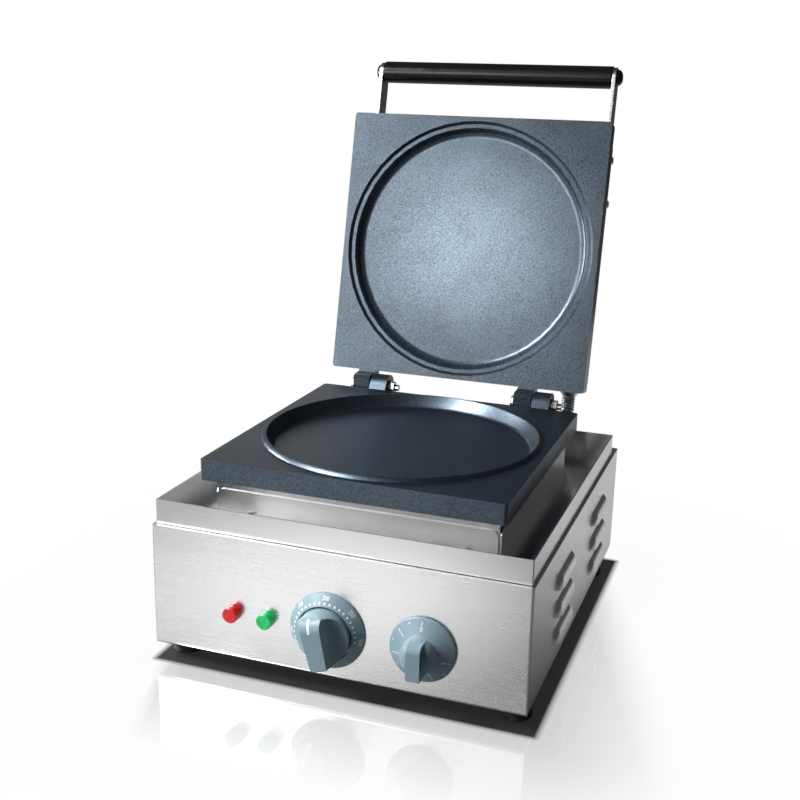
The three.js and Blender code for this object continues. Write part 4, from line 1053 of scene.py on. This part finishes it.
# %% [markdown]
# ## Stage and light
#
# The picture has a white ground. The floor and the world show as white to the camera, and the object is lit
# by plain soft lamps and not by its background. Steel shows what stands around it, so for reflections the
# world is a dark studio with one bright wall and a window in it.

# %% World
scene = bpy.context.scene
scene.view_settings.view_transform = "Standard"
WORLD_LEVEL = 0.02
BRIGHT_SIDE = Vector((-0.52, -0.85, 0.06)).normalized()
WALL_FROM, WALL_FULL = 0.6, 0.97
STUDIO_LEVEL, WALL_LEVEL = 0.045, 1.0
WINDOW_FROM, WINDOW_FULL, WINDOW_LEVEL = 0.95, 1.0, 8.0


def seen_by(tree, reflection_share):
    """One for rays from the camera or through glass, this share for reflections, and nought for others."""
    path = add_node(tree, "ShaderNodeLightPath").outputs
    direct = calculate(tree, "MAXIMUM", path["Is Camera Ray"], path["Is Transmission Ray"])
    mirrored = calculate(tree, "MULTIPLY", path["Is Glossy Ray"], reflection_share)
    return calculate(tree, "MAXIMUM", direct, mirrored)


world = bpy.data.worlds.new("studio")
scene.world = world
world.use_nodes = True
tree = world.node_tree
backdrop = tree.nodes["Background"]
feed(tree, backdrop.inputs["Color"], (1, 1, 1, 1))
direction = add_node(tree, "ShaderNodeTexCoord").outputs["Generated"]
toward_light = vector_math(tree, "DOT_PRODUCT", direction, BRIGHT_SIDE)
wall = remap(tree, toward_light, WALL_FROM, WALL_FULL, STUDIO_LEVEL, WALL_LEVEL)
window = remap(tree, toward_light, WINDOW_FROM, WINDOW_FULL, 0.0, WINDOW_LEVEL)
seen = seen_by(tree, calculate(tree, "ADD", wall, window))
feed(tree, backdrop.inputs["Strength"], remap(tree, seen, 0.0, 1.0, WORLD_LEVEL, 1.0, clamp=False))
print("world level", WORLD_LEVEL)

# %% [markdown]
# The floor is a dark grey that takes the lamps' shadow, with white laid over it. Under the case a painted
# shadow makes it nearly black, and that fades over a few millimetres. One measure gives both: how far a point
# of the floor lies outside the case's own rectangle.

# %% Floor: its grey and the painted shadow under the case
FLOOR_GREY = (0.07, 0.07, 0.072)
# Painted shadow under the case: nearly black, shifted and trimmed, fading out over a few millimetres.
PAINTED_SHADOW_BLACK = (0.012, 0.012, 0.012)
PAINTED_SHADOW_FADE, PAINTED_SHADOW_LIFT = 0.006, 0.018
PAINTED_SHADOW_SHIFT, PAINTED_SHADOW_TRIM_X, PAINTED_SHADOW_TRIM_Y = 0.003, 0.003, 0.001
floor_material, tree, shader = new_material("pale_floor", FLOOR_GREY, 0.5)


def distance_from_box(tree, centre, half):
    """How far a point of the floor lies outside an upright rectangle, in metres."""
    shifted = vector_math(tree, "SUBTRACT", object_place(tree), (*centre, 0))
    beyond = vector_math(tree, "SUBTRACT", vector_math(tree, "ABSOLUTE", shifted), (*half, 0))
    return vector_math(tree, "LENGTH", vector_math(tree, "MAXIMUM", beyond, (0, 0, 0)))


case_low, case_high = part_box("case_shell")
centre = (case_low + case_high) / 2
half = (case_high - case_low) / 2
outside_painted_shadow = distance_from_box(
    tree, (centre.x + PAINTED_SHADOW_SHIFT, centre.y), (half.x - PAINTED_SHADOW_TRIM_X, half.y - PAINTED_SHADOW_TRIM_Y))
away = distance_from_box(tree, centre.xy, half.xy)
# Painted shadow: the floor's colour goes nearly black under the case, and the white and the mirror are taken
# away there.
clear_of_painted_shadow = remap(tree, outside_painted_shadow, 0.0, PAINTED_SHADOW_FADE, PAINTED_SHADOW_LIFT, 1.0)
feed(tree, shader.inputs["Base Color"], mix_colors(tree, clear_of_painted_shadow, (*PAINTED_SHADOW_BLACK, 1), (*FLOOR_GREY, 1)))
print("the dark under the case fades over", PAINTED_SHADOW_FADE / MM, "mm")

# %% [markdown]
# The white is an emission of strength 1 that only the camera sees in full. Steel and coat mirror the floor as
# well. A floor that was white in every reflection would wash them out, so they see white only in two soft
# pools, one before the panel and one behind the case to the right.

# %% Floor: white for the camera, in pools for reflections
WHITE_AT_CASE, WHITE_FULL_AT = 0.97, 0.25
POOL_CENTRE, POOL_FROM, POOL_END = (-0.085, -0.37), 0.085, 0.245
POOL_SHARE, BEYOND_POOL = 1.0, 0.05
SIDE_POOL_CENTRE, SIDE_POOL_FROM, SIDE_POOL_END = (0.18, 0.6), 0.4, 0.76
SIDE_POOL_SHARE, BEYOND_SIDE_POOL = 0.52, 0.07

white_share = remap(tree, away, 0.0, WHITE_FULL_AT, WHITE_AT_CASE, 1.0)
clear_white = calculate(tree, "MULTIPLY", white_share, clear_of_painted_shadow)
# Painted light: two soft pools of white on the floor that only reflections see, which the steel mirrors as
# its bright parts.
pool = distance_from_box(tree, POOL_CENTRE, (0, 0))
in_pool = remap(tree, pool, POOL_FROM, POOL_END, POOL_SHARE, BEYOND_POOL)
side_pool = distance_from_box(tree, SIDE_POOL_CENTRE, (0, 0))
in_side_pool = remap(tree, side_pool, SIDE_POOL_FROM, SIDE_POOL_END, SIDE_POOL_SHARE, BEYOND_SIDE_POOL)
in_either = calculate(tree, "MAXIMUM", in_pool, in_side_pool)
share = calculate(tree, "MULTIPLY", clear_white, seen_by(tree, in_either))
white = add_node(tree, "ShaderNodeEmission", Color=(1, 1, 1, 1), Strength=1.0)
pale = mix_shaders(tree, share, shader.outputs["BSDF"], white.outputs["Emission"])
print("white over the floor, from", WHITE_AT_CASE, "at the case")

# %% [markdown]
# The floor is polished and mirrors the case a little, less and less with distance. A mirror would also show
# the dark studio beside the case. So it ends at two slanting lines, where the mirrored view of the case's
# rear right and front left edges meets the floor.

# %% Floor: a faint mirror near the case
MIRROR_FROM, MIRROR_END, MIRROR_SHARE = 0.01, 0.11, 0.34
VIEW_SLANT = (2.9, 1.0, 0.0)
REAR_LINE_FROM, REAR_LINE_END = 0.47, 0.575
LEFT_LINE_FROM, LEFT_LINE_END = -0.615, -0.585

mirror = add_node(tree, "ShaderNodeBsdfGlossy", Roughness=0.03)
mirror_share = remap(tree, away, MIRROR_FROM, MIRROR_END, MIRROR_SHARE, 0.0)
clear_mirror = calculate(tree, "MULTIPLY", mirror_share, clear_of_painted_shadow)
slanting = vector_math(tree, "DOT_PRODUCT", object_place(tree), VIEW_SLANT)
before_rear = remap(tree, slanting, REAR_LINE_FROM, REAR_LINE_END, 1.0, 0.0)
right_of_left = remap(tree, slanting, LEFT_LINE_FROM, LEFT_LINE_END)
in_view = calculate(tree, "MULTIPLY", before_rear, right_of_left)
mirrored_case = calculate(tree, "MULTIPLY", clear_mirror, in_view)
polished = mix_shaders(tree, mirrored_case, pale, mirror.outputs["BSDF"])
feed(tree, tree.nodes["Material Output"].inputs["Surface"], polished)
print("the mirror ends", MIRROR_END, "m from the case")

# %% [markdown]
# The floor itself is one large square under the feet.

# %% Floor: the square
FLOOR_HALF = 3.0
corner_signs = ((-1, -1), (1, -1), (1, 1), (-1, 1))
mesh = bpy.data.meshes.new("floor")
mesh.from_pydata([(x * FLOOR_HALF, y * FLOOR_HALF, 0) for x, y in corner_signs], [], [(0, 1, 2, 3)])
floor = bpy.data.objects.new("floor", mesh)
scene.collection.objects.link(floor)
set_material(floor, floor_material)
print("floor is", 2 * FLOOR_HALF, "m square")

# %% [markdown]
# Four soft square lamps light the object, all from the left as in the picture. The key lamp does most of the
# work. The side lamp shapes the knobs, the back lamp draws the rear edges, and the sheen lamp is a narrow
# beam that the open lid's coat mirrors to the camera as one soft highlight.

# %% Lamps


def add_lamp(name, place, aim, size, power, spread=180):
    """A square soft lamp that faces a point and shines within an angle."""
    data = bpy.data.lights.new(name, "AREA")
    data.size = size
    data.energy = power
    data.spread = math.radians(spread)
    lamp = bpy.data.objects.new(name, data)
    lamp.location = place
    lamp.rotation_euler = (Vector(aim) - Vector(place)).to_track_quat("-Z", "Y").to_euler()
    scene.collection.objects.link(lamp)


LID_MIDDLE = (-0.003, 0.13, 0.305)
OBJECT_MIDDLE = (0, 0, 0.15)
add_lamp("key_lamp", (-1.18, -0.98, 1.3), aim=(0, 0, 0.12), size=0.7, power=57)
add_lamp("sheen_lamp", (-0.42, -1.21, 0.7), aim=LID_MIDDLE, size=0.16, power=0.0235, spread=12)
add_lamp("side_lamp", (-1.35, 0.0, 0.35), aim=OBJECT_MIDDLE, size=0.5, power=20)
add_lamp("back_lamp", (-0.85, 1.35, 0.62), aim=OBJECT_MIDDLE, size=0.6, power=0.55)
